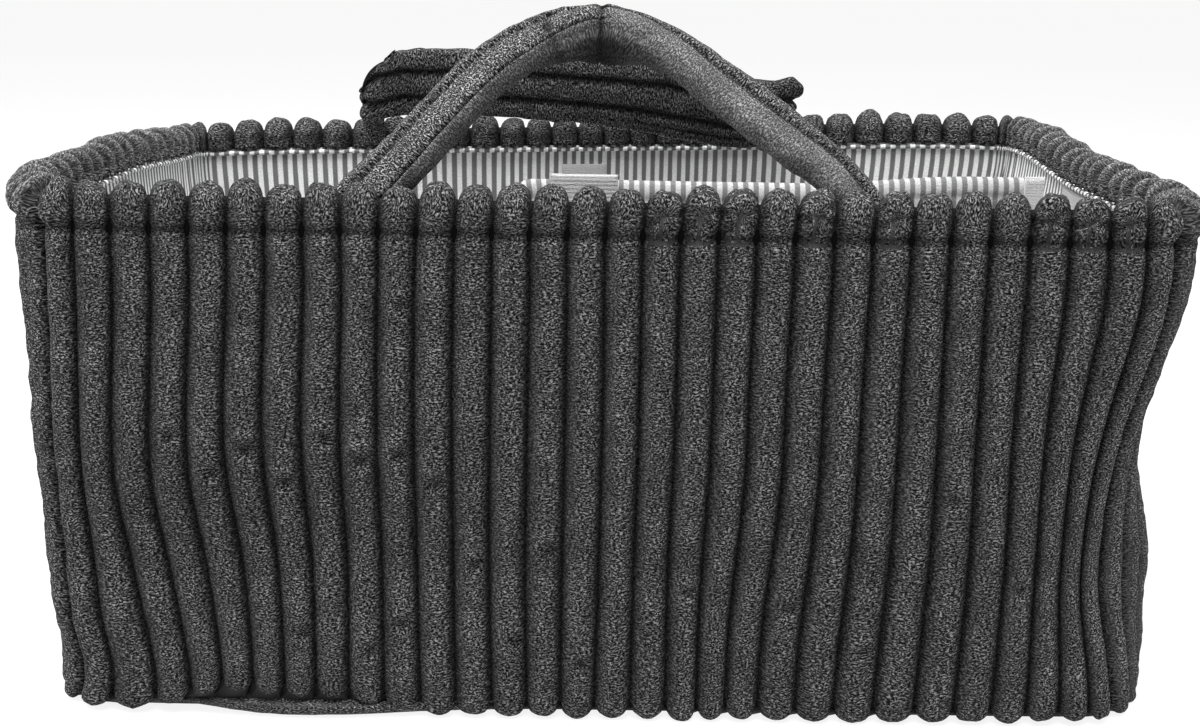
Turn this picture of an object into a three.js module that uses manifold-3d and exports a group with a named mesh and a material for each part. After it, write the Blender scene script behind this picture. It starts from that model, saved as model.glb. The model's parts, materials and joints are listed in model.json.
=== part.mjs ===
// A soft diaper caddy: an open basket of ribbed plush over stiffener boards, lined with striped
// cloth, with two plush carrying handles and a lift-out padded divider.
// Millimetres, +Z up, front towards -Y, origin at the middle of the underside.

import * as THREE from "three";
import { mergeVertices } from "three/addons/utils/BufferGeometryUtils.js";
import Module from "manifold-3d";

// Basket, measured outside over the crowns of the wales
const basketWidth = 381;
const basketDepth = 254;
const basketHeight = 190;
const openingCornerRadius = 3;
const clearance = 0.3;

// Ribbed plush: round wales on a backing cloth
const walePitch = 12.4;
const waleHeight = 4.5;
const backingThickness = 1.2;
const waleColumnShares = [0, 1 / 6, 1 / 2, 5 / 6];

// Rim, where the plush folds over the boards and is stitched through
const rimFoldDepth = 13.5;
const stitchSpread = 3.5;
const stitchFullnessShare = 0.4;
const facingFullnessShare = 0.7;
const rimArcSteps = 4;

// Foot of the walls, and the underside that the basket stands on
const footHeight = 2;
const footRound = 4;
const footFullnessShare = 0.25;
const restFlatDepth = 0.5;

// Boards, lining and piping
const boardThickness = 4;
const baseBoardThickness = 3.5;
const liningThickness = 1;
const pipingRadius = 1.6;
const pipingSides = 8;
const cornerSteps = 3;
const outlineCurveSegments = 6;

// Hook-and-loop tapes on the walls, which end above the floor; the back one starts a little below
// the piping
const tapeThickness = 1.2;
const wallTapeMargin = 50;
const backTapeWidth = 21.5;
const backTapeOffset = -9;
const backTapeDrop = 2.3;
const rightTapeWidth = 50;

// Padded divider, held at its right end and free at its left end
const dividerReach = 38;
const dividerThickness = 10;
const dividerDrop = 12;
const dividerEdgeRound = 2.5;
const dividerEdgeSteps = 2;
const dividerFreeCornerRadius = 16;
const dividerHeldCornerRadius = 10;
const dividerCoverThickness = 1.4;
const dividerTapeWidth = 27;
const dividerTapeInset = 17;
const dividerTapeMargin = 45;
const dividerTapeDrop = 2;
const endTapeMargin = 21;

// Straps of the two handles; the front one is rolled, the back one lies flat
const strapEdgeShares = [
  [-1, 0],
  [-0.9, 0.7],
  [-0.62, 1],
  [-0.33, 0.72],
  [0, 1],
  [0.33, 0.72],
  [0.62, 1],
  [0.9, 0.7],
];
const paddingWidthShare = 0.62;
const paddingThicknessShare = 0.4;
const strapSteps = 4;
const endRoundShares = [0.45, 0.8, 0.95];
const rimClearance = 1.5;
const swingCutAngle = 30;
const cutOverrun = 20;

// The front handle from a foot to its top: shares of the half span and of the rise, and the fall
// and the turn of the strap as shares of a right angle
const frontStationShares = [
  { span: 1, rise: 0, fall: 1, turn: 0 },
  { span: 0.76, rise: 0.375, fall: 0.5, turn: 0.5 },
  { span: 0.42, rise: 0.79, fall: 0.45, turn: 0.7 },
  { span: 0, rise: 1, fall: 0, turn: 1 },
];
const frontStrapWidth = 26;
const frontStrapThickness = 12;
const frontHalfSpan = 66;
const frontSeamSpread = 19;
const frontRise = 47.7;
const frontLean = 25;

const backStrapWidth = 35;
const backStrapThickness = 9;
const backLegWidth = 21;
const backLeftSpan = 100;
const backRightSpan = 80;
const backLeftRise = 11;
const backRightRise = 8;
const backForward = 16;
const backCornerRadius = 13;
const backRollLength = 20;
const backRunLean = 18;

// Sizes that follow from those above
const plushThickness = waleHeight + backingThickness;
const rimThickness = 2 * plushThickness + boardThickness + 2 * clearance;
const rimRadius = rimThickness / 2;
const cornerRadius = openingCornerRadius + rimThickness;
const facingBottom = basketHeight - rimFoldDepth;
const boardInset = plushThickness + clearance;
const liningInset = boardInset + boardThickness + clearance;
const liningFace = liningInset + liningThickness;
const baseTop = plushThickness - restFlatDepth;
const boardBottom = baseTop + clearance;
const liningBottom = boardBottom + baseBoardThickness + clearance;
const floorTop = liningBottom + liningThickness;
const liningTop = facingBottom - clearance;
const halfWidth = basketWidth / 2;
const halfDepth = basketDepth / 2;

const plushMaterial = () => new THREE.MeshStandardMaterial({ color: 0x4b4b4b, roughness: 1, metalness: 0 });
const liningMaterial = () => new THREE.MeshStandardMaterial({ color: 0xb9b9b9, roughness: 0.9, metalness: 0 });
const boardMaterial = () => new THREE.MeshStandardMaterial({ color: 0xd9d6cf, roughness: 0.8, metalness: 0 });
const paddingMaterial = () => new THREE.MeshStandardMaterial({ color: 0xe8e6e0, roughness: 1, metalness: 0 });
const tapeMaterial = () => new THREE.MeshStandardMaterial({ color: 0xd4d4d4, roughness: 0.7, metalness: 0 });

const wasm = await Module();
wasm.setup();

// A closed surface put together from rows of points
class Surface {
  positions = [];
  triangles = [];

  row(points) {
    return points.map((point) => this.positions.push(point) - 1);
  }

  triangle(a, b, c, turned) {
    this.triangles.push(turned ? [a, c, b] : [a, b, c]);
  }

  // Quads between two rows of the same length
  strip(lower, upper, turned = false) {
    for (let i = 0; i + 1 < lower.length; i += 1) {
      this.triangle(lower[i], lower[i + 1], upper[i + 1], turned);
      this.triangle(lower[i], upper[i + 1], upper[i], turned);
    }
  }

  band(lower, upper, turned = false) {
    this.strip([...lower, lower[0]], [...upper, upper[0]], turned);
  }

  // A flat cap: rings of indices with their places in the plane of the cap
  cap(rings, places, turned) {
    const ids = rings.flat();
    const flat = places.flat();
    for (const [a, b, c] of THREE.ShapeUtils.triangulateShape(places[0], places.slice(1))) {
      const area = THREE.ShapeUtils.area([flat[a], flat[b], flat[c]]);
      this.triangle(ids[a], ids[b], ids[c], area > 0 === turned);
    }
  }

  geometry() {
    const geometry = new THREE.BufferGeometry();
    const values = this.positions.flatMap((point) => [point.x, point.y, point.z]);
    geometry.setAttribute("position", new THREE.Float32BufferAttribute(values, 3));
    geometry.setIndex(this.triangles.flat());
    return geometry;
  }
}

function solidOf(geometry) {
  const bare = geometry.clone();
  bare.deleteAttribute("normal");
  bare.deleteAttribute("uv");
  const merged = mergeVertices(bare);
  const vertProperties = new Float32Array(merged.attributes.position.array);
  const triVerts = new Uint32Array(merged.index.array);
  return new wasm.Manifold(new wasm.Mesh({ numProp: 3, vertProperties, triVerts }));
}

function geometryOf(solid) {
  const mesh = solid.getMesh();
  const geometry = new THREE.BufferGeometry();
  geometry.setAttribute("position", new THREE.BufferAttribute(mesh.vertProperties, 3));
  geometry.setIndex(new THREE.BufferAttribute(mesh.triVerts, 1));
  return geometry;
}

function named(name, geometry, material) {
  const mesh = new THREE.Mesh(geometry, material);
  mesh.name = name;
  return mesh;
}

function box(low, high) {
  const size = new THREE.Vector3().subVectors(high, low);
  const geometry = new THREE.BoxGeometry(size.x, size.y, size.z);
  const middle = new THREE.Vector3().addVectors(low, high).divideScalar(2);
  return geometry.translate(middle.x, middle.y, middle.z);
}

// A level slab with the basket's outline, drawn in by an inset
function slab(inset, bottom, top) {
  const x = halfWidth - inset;
  const y = halfDepth - inset;
  const radius = cornerRadius - inset;
  const outline = new THREE.Shape();
  outline.absarc(x - radius, y - radius, radius, 0, Math.PI / 2);
  outline.absarc(radius - x, y - radius, radius, Math.PI / 2, Math.PI);
  outline.absarc(radius - x, radius - y, radius, Math.PI, 1.5 * Math.PI);
  outline.absarc(x - radius, radius - y, radius, 1.5 * Math.PI, 2 * Math.PI);
  const options = { depth: top - bottom, bevelEnabled: false, curveSegments: outlineCurveSegments };
  return new THREE.ExtrudeGeometry(outline, options).translate(0, 0, bottom);
}

// A wall of the basket, drawn as the front one: it runs along +X from the middle of one round
// corner to the middle of the next. Insets are measured inwards from the crowns of the wales.
class Wall {
  constructor(halfLength, distance, turn) {
    this.straight = 2 * (halfLength - cornerRadius);
    this.distance = distance;
    this.turn = turn;
    this.arc = (Math.PI / 4) * cornerRadius;
    this.length = this.straight + 2 * this.arc;
  }

  place(along, inset, height) {
    const half = this.straight / 2;
    const beyond = Math.abs(along - this.length / 2) - half;
    const side = Math.sign(along - this.length / 2);
    const angle = Math.max(beyond, 0) / cornerRadius;
    const reach = cornerRadius - inset;
    const x = side * (Math.min(half + beyond, half) + reach * Math.sin(angle));
    const y = cornerRadius - this.distance - reach * Math.cos(angle);
    const atSeam = Math.abs(beyond - this.arc) < clearance ? clearance / 2 : 0;
    const shiftX = -side * atSeam * Math.SQRT1_2;
    const shiftY = -atSeam * Math.SQRT1_2;
    return new THREE.Vector3(x + shiftX, y + shiftY, height);
  }

  // Columns for a smooth sheet: the straight in one piece, each half corner in a few steps
  smoothColumns() {
    const steps = Array.from({ length: cornerSteps + 1 }, (_, i) => (i / cornerSteps) * this.arc);
    return [...steps, ...steps.map((step) => this.length - step).reverse()];
  }

  // A sheet of one closed section, given as insets and heights in order round it
  sheet(section) {
    const surface = new Surface();
    const columns = this.smoothColumns();
    const rings = columns.map((along) =>
      surface.row(section.map((point) => this.place(along, point.x, point.y))),
    );
    for (let i = 0; i + 1 < rings.length; i += 1) {
      surface.band(rings[i + 1], rings[i]);
    }
    surface.cap([rings[0]], [section], true);
    surface.cap([rings[rings.length - 1]], [section], false);
    return surface.geometry();
  }

  mesh(name, geometry, material) {
    const mesh = named(name, geometry, material);
    mesh.rotation.z = this.turn;
    return mesh;
  }
}

// The crown line of the plush from the foot up the outside, over the rim and down to the facing's
// hem. Each step holds its inset, its height, the way into the cloth and how full the wale is.
function crownLine() {
  const upright = (height, fullness) => ({ inset: 0, height, into: [1, 0], fullness });
  const line = [
    upright(footHeight, footFullnessShare),
    upright(footHeight + footRound, 1),
    upright(facingBottom - stitchSpread, 1),
    upright(facingBottom, stitchFullnessShare),
  ];
  for (let i = 0; i <= rimArcSteps; i += 1) {
    const angle = Math.PI * (1 - i / rimArcSteps);
    const outward = [Math.cos(angle), Math.sin(angle)];
    line.push({
      inset: rimRadius + rimRadius * outward[0],
      height: basketHeight - rimRadius + rimRadius * outward[1],
      into: [-outward[0], -outward[1]],
      fullness: 1,
    });
  }
  line.push({ inset: rimThickness, height: facingBottom, into: [-1, 0], fullness: facingFullnessShare });
  return line;
}

// The smooth back of the plush, from the facing's hem over the boards and down to the foot
function backLine() {
  return [
    [rimThickness - plushThickness, facingBottom],
    [rimThickness - plushThickness, basketHeight - rimRadius],
    [rimRadius, basketHeight - plushThickness],
    [plushThickness, basketHeight - rimRadius],
    [plushThickness, footHeight],
  ];
}

// One wall's plush panel with its upright wales, folded over the rim
function plushPanel(wall) {
  const waleCount = Math.round(wall.length / walePitch);
  const pitch = wall.length / waleCount;
  const columns = [];
  for (let wale = 0; wale < waleCount; wale += 1) {
    for (const share of waleColumnShares) {
      columns.push({ along: (wale + share) * pitch, bump: Math.sqrt(1 - (2 * share - 1) ** 2) });
    }
  }
  columns.push({ along: wall.length, bump: 0 });

  const surface = new Surface();
  const outer = crownLine().map((step) => {
    const flat = columns.map(({ along, bump }) => {
      const sunk = waleHeight * (1 - bump * step.fullness);
      const inset = step.inset + sunk * step.into[0];
      const height = step.height + sunk * step.into[1];
      return { along, inset, height };
    });
    const ids = surface.row(flat.map((point) => wall.place(point.along, point.inset, point.height)));
    return { flat, ids };
  });
  const inner = backLine().map(([inset, height]) => {
    const flat = wall.smoothColumns().map((along) => ({ along, inset, height }));
    const ids = surface.row(flat.map((point) => wall.place(point.along, point.inset, point.height)));
    return { flat, ids };
  });
  for (const skin of [outer, inner]) {
    for (let i = 0; i + 1 < skin.length; i += 1) {
      surface.strip(skin[i].ids, skin[i + 1].ids);
    }
  }

  const lastOuter = outer[outer.length - 1];
  const lastInner = inner[inner.length - 1];
  for (const [fine, coarse] of [[outer[0], lastInner], [lastOuter, inner[0]]]) {
    const ids = [...fine.ids, ...coarse.ids.toReversed()];
    const flat = [...fine.flat, ...coarse.flat.toReversed()];
    const places = flat.map((point) => new THREE.Vector2(point.along, point.inset));
    surface.cap([ids], [places], true);
  }
  for (const atEnd of [false, true]) {
    const rows = [...outer, ...inner];
    const ids = rows.map((row) => row.ids.at(atEnd ? -1 : 0));
    const flat = rows.map((row) => row.flat.at(atEnd ? -1 : 0));
    const places = flat.map((point) => new THREE.Vector2(point.inset, point.height));
    surface.cap([ids], [places], !atEnd);
  }
  return surface.geometry();
}

// The underside's plush, with wales along X, an odd number of them so that one lies in the middle
function basePanel() {
  const half = halfDepth - boardInset;
  const waleCount = 2 * Math.round((2 * half / walePitch - 1) / 2) + 1;
  const pitch = (2 * half) / waleCount;
  const profile = new THREE.Shape();
  profile.moveTo(-half, baseTop);
  for (let wale = 0; wale < waleCount; wale += 1) {
    for (const share of waleColumnShares) {
      const bump = Math.sqrt(1 - (2 * share - 1) ** 2);
      profile.lineTo(-half + (wale + share) * pitch, waleHeight * (1 - bump) - restFlatDepth);
    }
  }
  profile.lineTo(half, waleHeight - restFlatDepth);
  profile.lineTo(half, baseTop);
  const ribbed = new THREE.ExtrudeGeometry(profile, { depth: basketWidth, bevelEnabled: false });
  const alongX = new THREE.Matrix4().makeBasis(
    new THREE.Vector3(0, 1, 0),
    new THREE.Vector3(0, 0, 1),
    new THREE.Vector3(1, 0, 0),
  );
  ribbed.applyMatrix4(alongX).translate(-halfWidth, 0, 0);
  return geometryOf(solidOf(ribbed).intersect(solidOf(slab(boardInset, 0, plushThickness))));
}

// A flat stiffener in the straight part of one wall
function wallBoard(wall) {
  const half = wall.straight / 2;
  const top = basketHeight - rimRadius - clearance;
  return box(
    new THREE.Vector3(-half, boardInset - wall.distance, boardBottom),
    new THREE.Vector3(half, boardInset + boardThickness - wall.distance, top),
  );
}

function wallLining(wall) {
  return wall.sheet([
    new THREE.Vector2(liningInset, liningBottom),
    new THREE.Vector2(liningInset, liningTop),
    new THREE.Vector2(liningFace, liningTop),
    new THREE.Vector2(liningFace, liningBottom),
  ]);
}

// A cord covered in lining cloth, sewn all round under the hem of the facing
function rimPiping(walls) {
  const surface = new Surface();
  const inset = liningFace + clearance + pipingRadius;
  const height = liningTop - pipingRadius;
  const rings = walls.flatMap((wall) =>
    wall.smoothColumns().slice(1).map((along) => {
      const ring = Array.from({ length: pipingSides }, (_, i) => {
        const angle = (2 * Math.PI * i) / pipingSides;
        const point = wall.place(
          along,
          inset + pipingRadius * Math.cos(angle),
          height - pipingRadius * Math.sin(angle),
        );
        return point.applyAxisAngle(new THREE.Vector3(0, 0, 1), wall.turn);
      });
      return surface.row(ring);
    }),
  );
  rings.forEach((ring, i) => surface.band(rings[(i + 1) % rings.length], ring));
  return surface.geometry();
}

// Loop tape on the lining of the wall, its width along the wall and its top a drop below the piping
function wallTape(wall, middle, width, drop) {
  const top = liningTop - 2 * pipingRadius - drop;
  const face = liningFace + clearance - wall.distance;
  return box(
    new THREE.Vector3(middle - width / 2, face, floorTop + wallTapeMargin),
    new THREE.Vector3(middle + width / 2, face + tapeThickness, top),
  );
}

const dividerRight = halfWidth - liningFace - 3 * clearance - 2 * tapeThickness;
const dividerLeft = -dividerReach;
const dividerTop = basketHeight - dividerDrop;
const dividerBottom = floorTop + clearance;

// The divider's upright outline, drawn in by an inset, and turned to stand along X
function dividerSlab(inset, bottom, edgeRound) {
  const left = dividerLeft + inset;
  const right = dividerRight - inset;
  const top = dividerTop - inset;
  const freeRadius = dividerFreeCornerRadius - inset;
  const heldRadius = dividerHeldCornerRadius - inset;
  const outline = new THREE.Shape();
  outline.moveTo(left, bottom);
  outline.lineTo(right, bottom);
  outline.absarc(right - heldRadius, top - heldRadius, heldRadius, 0, Math.PI / 2);
  outline.absarc(left + freeRadius, top - freeRadius, freeRadius, Math.PI / 2, Math.PI);
  const thickness = dividerThickness - 2 * inset;
  const geometry = new THREE.ExtrudeGeometry(outline, {
    depth: thickness - 2 * edgeRound,
    bevelEnabled: edgeRound > 0,
    bevelThickness: edgeRound,
    bevelSize: edgeRound,
    bevelOffset: -edgeRound,
    bevelSegments: dividerEdgeSteps,
    curveSegments: outlineCurveSegments,
  });
  return geometry.rotateX(Math.PI / 2).translate(0, thickness / 2 - edgeRound, 0);
}

// The divider's striped cover, open along its bottom hem
function dividerCover() {
  const outside = solidOf(dividerSlab(0, dividerBottom, dividerEdgeRound));
  const inside = solidOf(dividerSlab(dividerCoverThickness, dividerBottom - cutOverrun, 0));
  return geometryOf(outside.subtract(inside));
}

function dividerCore() {
  return dividerSlab(dividerCoverThickness + clearance, dividerBottom + clearance, 0);
}

// The ribbed tape on the divider's near face
function dividerFaceTape() {
  const left = dividerLeft + dividerTapeInset;
  const face = -dividerThickness / 2 - clearance;
  const top = dividerTop - dividerTapeDrop;
  return box(
    new THREE.Vector3(left, face - tapeThickness, dividerBottom + dividerTapeMargin),
    new THREE.Vector3(left + dividerTapeWidth, face, top),
  );
}

// Hook tape on an end of the divider
function dividerEndTape(near, far) {
  const half = dividerThickness / 2 - dividerEdgeRound;
  return box(
    new THREE.Vector3(Math.min(near, far), -half, dividerBottom + endTapeMargin),
    new THREE.Vector3(Math.max(near, far), half, dividerTop - dividerFreeCornerRadius),
  );
}

// Places and sizes along a strap, taken smoothly through its control stations. A station has a
// place, a direction across the strap, a width and a thickness.
function strapStations(controls) {
  const through = (pick) => new THREE.CatmullRomCurve3(controls.map(pick), false, "catmullrom");
  const path = through((control) => control.at);
  const across = through((control) => control.across);
  const sizes = through((control) => new THREE.Vector3(control.width, control.thickness, 0));
  const count = strapSteps * (controls.length - 1);
  const stations = [];
  for (let i = 0; i <= count; i += 1) {
    const share = i / count;
    const forward = path.getTangent(share);
    const side = across.getPoint(share).normalize();
    const size = sizes.getPoint(share);
    const square = forward.clone().addScaledVector(side, -forward.dot(side)).normalize();
    const deep = new THREE.Vector3().crossVectors(square, side);
    const slant = forward.dot(square);
    stations.push({ at: path.getPoint(share), forward, side, deep, slant, width: size.x, thickness: size.y });
  }
  return stations;
}

// Stations past both ends of a strap, where it rounds off about its hinge line
function withRoundEnds(stations) {
  const rounded = (station, way) =>
    endRoundShares.map((share) => {
      const past = (way * share * station.thickness) / 2 / station.slant;
      const at = station.at.clone().addScaledVector(station.forward, past);
      return { ...station, at, thickness: station.thickness * Math.sqrt(1 - share ** 2) };
    });
  const first = stations[0];
  const last = stations[stations.length - 1];
  return [...rounded(first, -1).reverse(), ...stations, ...rounded(last, 1)];
}

// The three-waled outline of a strap, as places across it and through it
function strapOutline(station) {
  const half = station.width / 2 / station.slant;
  const deep = station.thickness / 2;
  const face = strapEdgeShares.map(([across, through]) => new THREE.Vector2(across * half, through * deep));
  return [...face, ...face.map((point) => point.clone().negate())];
}

function paddingOutline(station, grow) {
  const half = (station.width / 2 / station.slant) * paddingWidthShare + grow;
  const deep = (station.thickness / 2) * paddingThicknessShare + grow;
  const corners = [[-half, -deep], [-half, deep], [half, deep], [half, -deep]];
  return corners.map(([across, through]) => new THREE.Vector2(across, through));
}

// A strap skinned over its stations, with an inner skin for its hollow if one is given
function strapBody(stations, outline, hollow) {
  const surface = new Surface();
  const skin = (pick) =>
    stations.map((station) => {
      const flat = pick(station);
      const points = flat.map((place) =>
        station.at.clone().addScaledVector(station.side, place.x).addScaledVector(station.deep, place.y),
      );
      return { flat, ids: surface.row(points) };
    });
  const outer = skin(outline);
  const inner = hollow ? skin(hollow) : [];
  for (let i = 0; i + 1 < stations.length; i += 1) {
    surface.band(outer[i + 1].ids, outer[i].ids);
    if (hollow) {
      surface.band(inner[i + 1].ids, inner[i].ids, true);
    }
  }
  for (const [index, turned] of [[0, true], [stations.length - 1, false]]) {
    const rings = hollow ? [outer[index], inner[index]] : [outer[index]];
    surface.cap(rings.map((ring) => ring.ids), rings.map((ring) => ring.flat), turned);
  }
  return surface.geometry();
}

function strapCover(controls) {
  const stations = withRoundEnds(strapStations(controls));
  return strapBody(stations, strapOutline, (station) => paddingOutline(station, clearance));
}

function strapPadding(controls) {
  const stations = withRoundEnds(strapStations(controls));
  return strapBody(stations, (station) => paddingOutline(station, 0));
}

// Where a handle's hinge line lies: just inside the facing and clear of the rim
const hingeInset = (thickness) => rimThickness + clearance + thickness / 2;
const hingeHeight = (thickness) => basketHeight + rimClearance + thickness / 2;

const mirrored = (control) => ({
  ...control,
  at: control.at.clone().multiply(new THREE.Vector3(-1, 1, 1)),
  across: control.across.clone().multiply(new THREE.Vector3(-1, 1, 1)),
});

// The front handle stands up as a rounded tent, leaning in. Its strap starts with its face
// outwards and turns its face up on the way to the top.
function frontHandleControls() {
  const lean = THREE.MathUtils.degToRad(frontLean);
  const origin = new THREE.Vector3(
    0,
    hingeInset(frontStrapThickness) - halfDepth,
    hingeHeight(frontStrapThickness),
  );
  const up = new THREE.Vector3(0, Math.sin(lean), Math.cos(lean));
  const near = new THREE.Vector3(0, -Math.cos(lean), Math.sin(lean));
  const left = frontStationShares.map((share) => {
    const fall = (share.fall * Math.PI) / 2;
    const turn = (share.turn * Math.PI) / 2;
    const across = new THREE.Vector3(Math.sin(fall), 0, 0).addScaledVector(up, -Math.cos(fall));
    return {
      at: origin.clone().addScaledVector(up, share.rise * frontRise).setX(-share.span * frontHalfSpan),
      across: across.multiplyScalar(Math.cos(turn)).addScaledVector(near, Math.sin(turn)),
      width: frontStrapWidth,
      thickness: frontStrapThickness,
    };
  });
  return [...left, ...left.slice(0, -1).map(mirrored).reverse()];
}

// The back handle has slumped: short legs lean in, turn flat round a quarter circle and roll into
// a level run that faces the front
function backHandleControls() {
  const hingeY = halfDepth - hingeInset(backStrapThickness);
  const hingeZ = hingeHeight(backStrapThickness);
  const runLean = THREE.MathUtils.degToRad(backRunLean);
  const down = new THREE.Vector3(0, Math.sin(runLean), -Math.cos(runLean));
  const turn = Math.PI / 4;
  const end = (span, rise, way) => {
    const legWay = new THREE.Vector3(0, -backForward, rise).normalize();
    const inwards = new THREE.Vector3(-way, 0, 0);
    const legLength = Math.hypot(backForward, rise) - backCornerRadius;
    const hinge = new THREE.Vector3(way * span, hingeY, hingeZ);
    const station = (forward, sideways, across, width) => ({
      at: hinge.clone().addScaledVector(legWay, forward).addScaledVector(inwards, sideways),
      across,
      width,
      thickness: backStrapThickness,
    });
    const legEnd = legLength + backCornerRadius * Math.sin(turn);
    const aside = backCornerRadius * (1 - Math.cos(turn));
    const reach = legLength + backCornerRadius;
    return [
      station(0, 0, inwards, backLegWidth),
      station(legLength, 0, inwards, backLegWidth),
      station(legEnd, aside, inwards.clone().sub(legWay), backLegWidth),
      station(reach, backCornerRadius, legWay.clone().negate(), (backLegWidth + backStrapWidth) / 2),
      station(reach, backCornerRadius + backRollLength, down, backStrapWidth),
    ];
  };
  const left = end(backLeftSpan, backLeftRise, -1);
  const right = end(backRightSpan, backRightRise, 1);
  return [...left, ...right.reverse()];
}

// The fixed end of a strap, sewn at the hem of the facing, cut away where the handle swings
function strapTab(controls, spread) {
  const hinge = controls[0];
  const length = hinge.at.z - facingBottom;
  const outwards = Math.sign(hinge.at.x);
  const facing = Math.sign(hinge.at.y);
  const foot = {
    ...hinge,
    at: hinge.at.clone().add(new THREE.Vector3(outwards * spread, 0, -length)),
  };
  const solid = solidOf(strapBody(strapStations([foot, hinge]), strapOutline));
  const radius = hinge.thickness / 2 + clearance;
  const cut = THREE.MathUtils.degToRad(swingCutAngle);
  const corner = radius * Math.tan(cut / 2);
  const reach = hinge.thickness + cutOverrun;
  const swing = new THREE.Shape();
  swing.moveTo(-reach, reach);
  swing.lineTo(-reach, -radius);
  swing.lineTo(-corner, -radius);
  swing.lineTo(-corner + reach * Math.cos(cut), -radius - reach * Math.sin(cut));
  swing.lineTo(reach, reach);
  const width = hinge.width + 2 * spread + 2 * cutOverrun;
  const cutter = new THREE.ExtrudeGeometry(swing, { depth: width, bevelEnabled: false });
  const alongX = new THREE.Matrix4().makeBasis(
    new THREE.Vector3(0, -facing, 0),
    new THREE.Vector3(0, 0, 1),
    new THREE.Vector3(-facing, 0, 0),
  );
  cutter.applyMatrix4(alongX).translate(hinge.at.x + (facing * width) / 2, hinge.at.y, hinge.at.z);
  return geometryOf(solid.subtract(solidOf(cutter)));
}

const walls = {
  front: new Wall(halfWidth, halfDepth, 0),
  right: new Wall(halfDepth, halfWidth, Math.PI / 2),
  back: new Wall(halfWidth, halfDepth, Math.PI),
  left: new Wall(halfDepth, halfWidth, 1.5 * Math.PI),
};

function basket() {
  const group = new THREE.Group();
  for (const [side, wall] of Object.entries(walls)) {
    group.add(wall.mesh(`outer_${side}_panel`, plushPanel(wall), plushMaterial()));
    group.add(wall.mesh(`${side}_stiffener`, wallBoard(wall), boardMaterial()));
    group.add(wall.mesh(`lining_${side}`, wallLining(wall), liningMaterial()));
  }
  group.add(named("outer_base_panel", basePanel(), plushMaterial()));
  const baseBoard = slab(liningInset, boardBottom, boardBottom + baseBoardThickness);
  group.add(named("base_stiffener", baseBoard, boardMaterial()));
  group.add(named("lining_floor", slab(liningFace + clearance, liningBottom, floorTop), liningMaterial()));
  group.add(named("rim_piping", rimPiping(Object.values(walls)), liningMaterial()));
  const backTape = wallTape(walls.back, -backTapeOffset, backTapeWidth, backTapeDrop);
  group.add(walls.back.mesh("back_loop_tape", backTape, tapeMaterial()));
  const rightTape = wallTape(walls.right, 0, rightTapeWidth, clearance);
  group.add(walls.right.mesh("right_loop_tape", rightTape, tapeMaterial()));
  return group;
}

function divider() {
  const group = new THREE.Group();
  group.add(named("divider_cover", dividerCover(), liningMaterial()));
  group.add(named("divider_core", dividerCore(), paddingMaterial()));
  group.add(named("divider_face_tape", dividerFaceTape(), tapeMaterial()));
  const rightTape = dividerEndTape(dividerRight + clearance, dividerRight + clearance + tapeThickness);
  group.add(named("divider_right_hook_tape", rightTape, tapeMaterial()));
  const leftTape = dividerEndTape(dividerLeft - clearance - tapeThickness, dividerLeft - clearance);
  group.add(named("divider_left_hook_tape", leftTape, tapeMaterial()));
  return group;
}

function handle(side, controls, spread) {
  const group = new THREE.Group();
  group.add(named(`${side}_handle_cover`, strapCover(controls), plushMaterial()));
  group.add(named(`${side}_handle_padding`, strapPadding(controls), paddingMaterial()));
  const ends = [["left", controls], ["right", controls.toReversed()]];
  for (const [end, ordered] of ends) {
    group.add(named(`${side}_handle_${end}_tab`, strapTab(ordered, spread), plushMaterial()));
  }
  return group;
}

const caddy = new THREE.Group();
caddy.add(basket());
caddy.add(divider());
caddy.add(handle("front", frontHandleControls(), frontSeamSpread));
caddy.add(handle("back", backHandleControls(), 0));

export default caddy;
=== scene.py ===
"""A soft diaper caddy in its cloth: ribbed plush, striped lining, tapes, divider and two straps.

Metres, +Z up, front towards -Y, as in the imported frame.
"""

import json
import math

import bpy
import numpy as np
from mathutils import Euler, Matrix, Vector


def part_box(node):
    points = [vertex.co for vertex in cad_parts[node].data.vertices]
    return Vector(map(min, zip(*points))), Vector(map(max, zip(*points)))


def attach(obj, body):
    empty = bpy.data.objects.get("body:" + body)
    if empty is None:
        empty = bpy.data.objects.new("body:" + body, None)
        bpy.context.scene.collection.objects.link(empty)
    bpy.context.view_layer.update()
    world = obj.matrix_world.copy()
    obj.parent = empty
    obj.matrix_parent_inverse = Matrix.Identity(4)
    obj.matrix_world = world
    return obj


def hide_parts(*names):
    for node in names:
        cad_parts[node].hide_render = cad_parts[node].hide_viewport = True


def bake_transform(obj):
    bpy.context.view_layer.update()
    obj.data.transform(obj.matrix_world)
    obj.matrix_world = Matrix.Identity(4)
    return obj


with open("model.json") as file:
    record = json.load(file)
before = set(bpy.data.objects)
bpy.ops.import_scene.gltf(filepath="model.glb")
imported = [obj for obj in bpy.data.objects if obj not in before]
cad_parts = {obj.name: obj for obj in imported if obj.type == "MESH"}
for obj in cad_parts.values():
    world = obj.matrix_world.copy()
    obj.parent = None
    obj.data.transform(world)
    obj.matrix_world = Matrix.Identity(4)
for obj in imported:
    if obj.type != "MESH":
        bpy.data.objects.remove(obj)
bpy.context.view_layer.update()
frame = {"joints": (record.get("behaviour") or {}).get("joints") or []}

# The photograph's camera, its angles in degrees
PHOTO_WIDTH = 1200
PHOTO_FOCAL = 1564
SENSOR_WIDTH = 36
CAMERA_PLACE = (0.0, -0.633, 0.2635)
CAMERA_PITCH, CAMERA_ROLL = 14.58, 0.95
CLIP_START, CLIP_END = 0.01, 50

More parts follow.
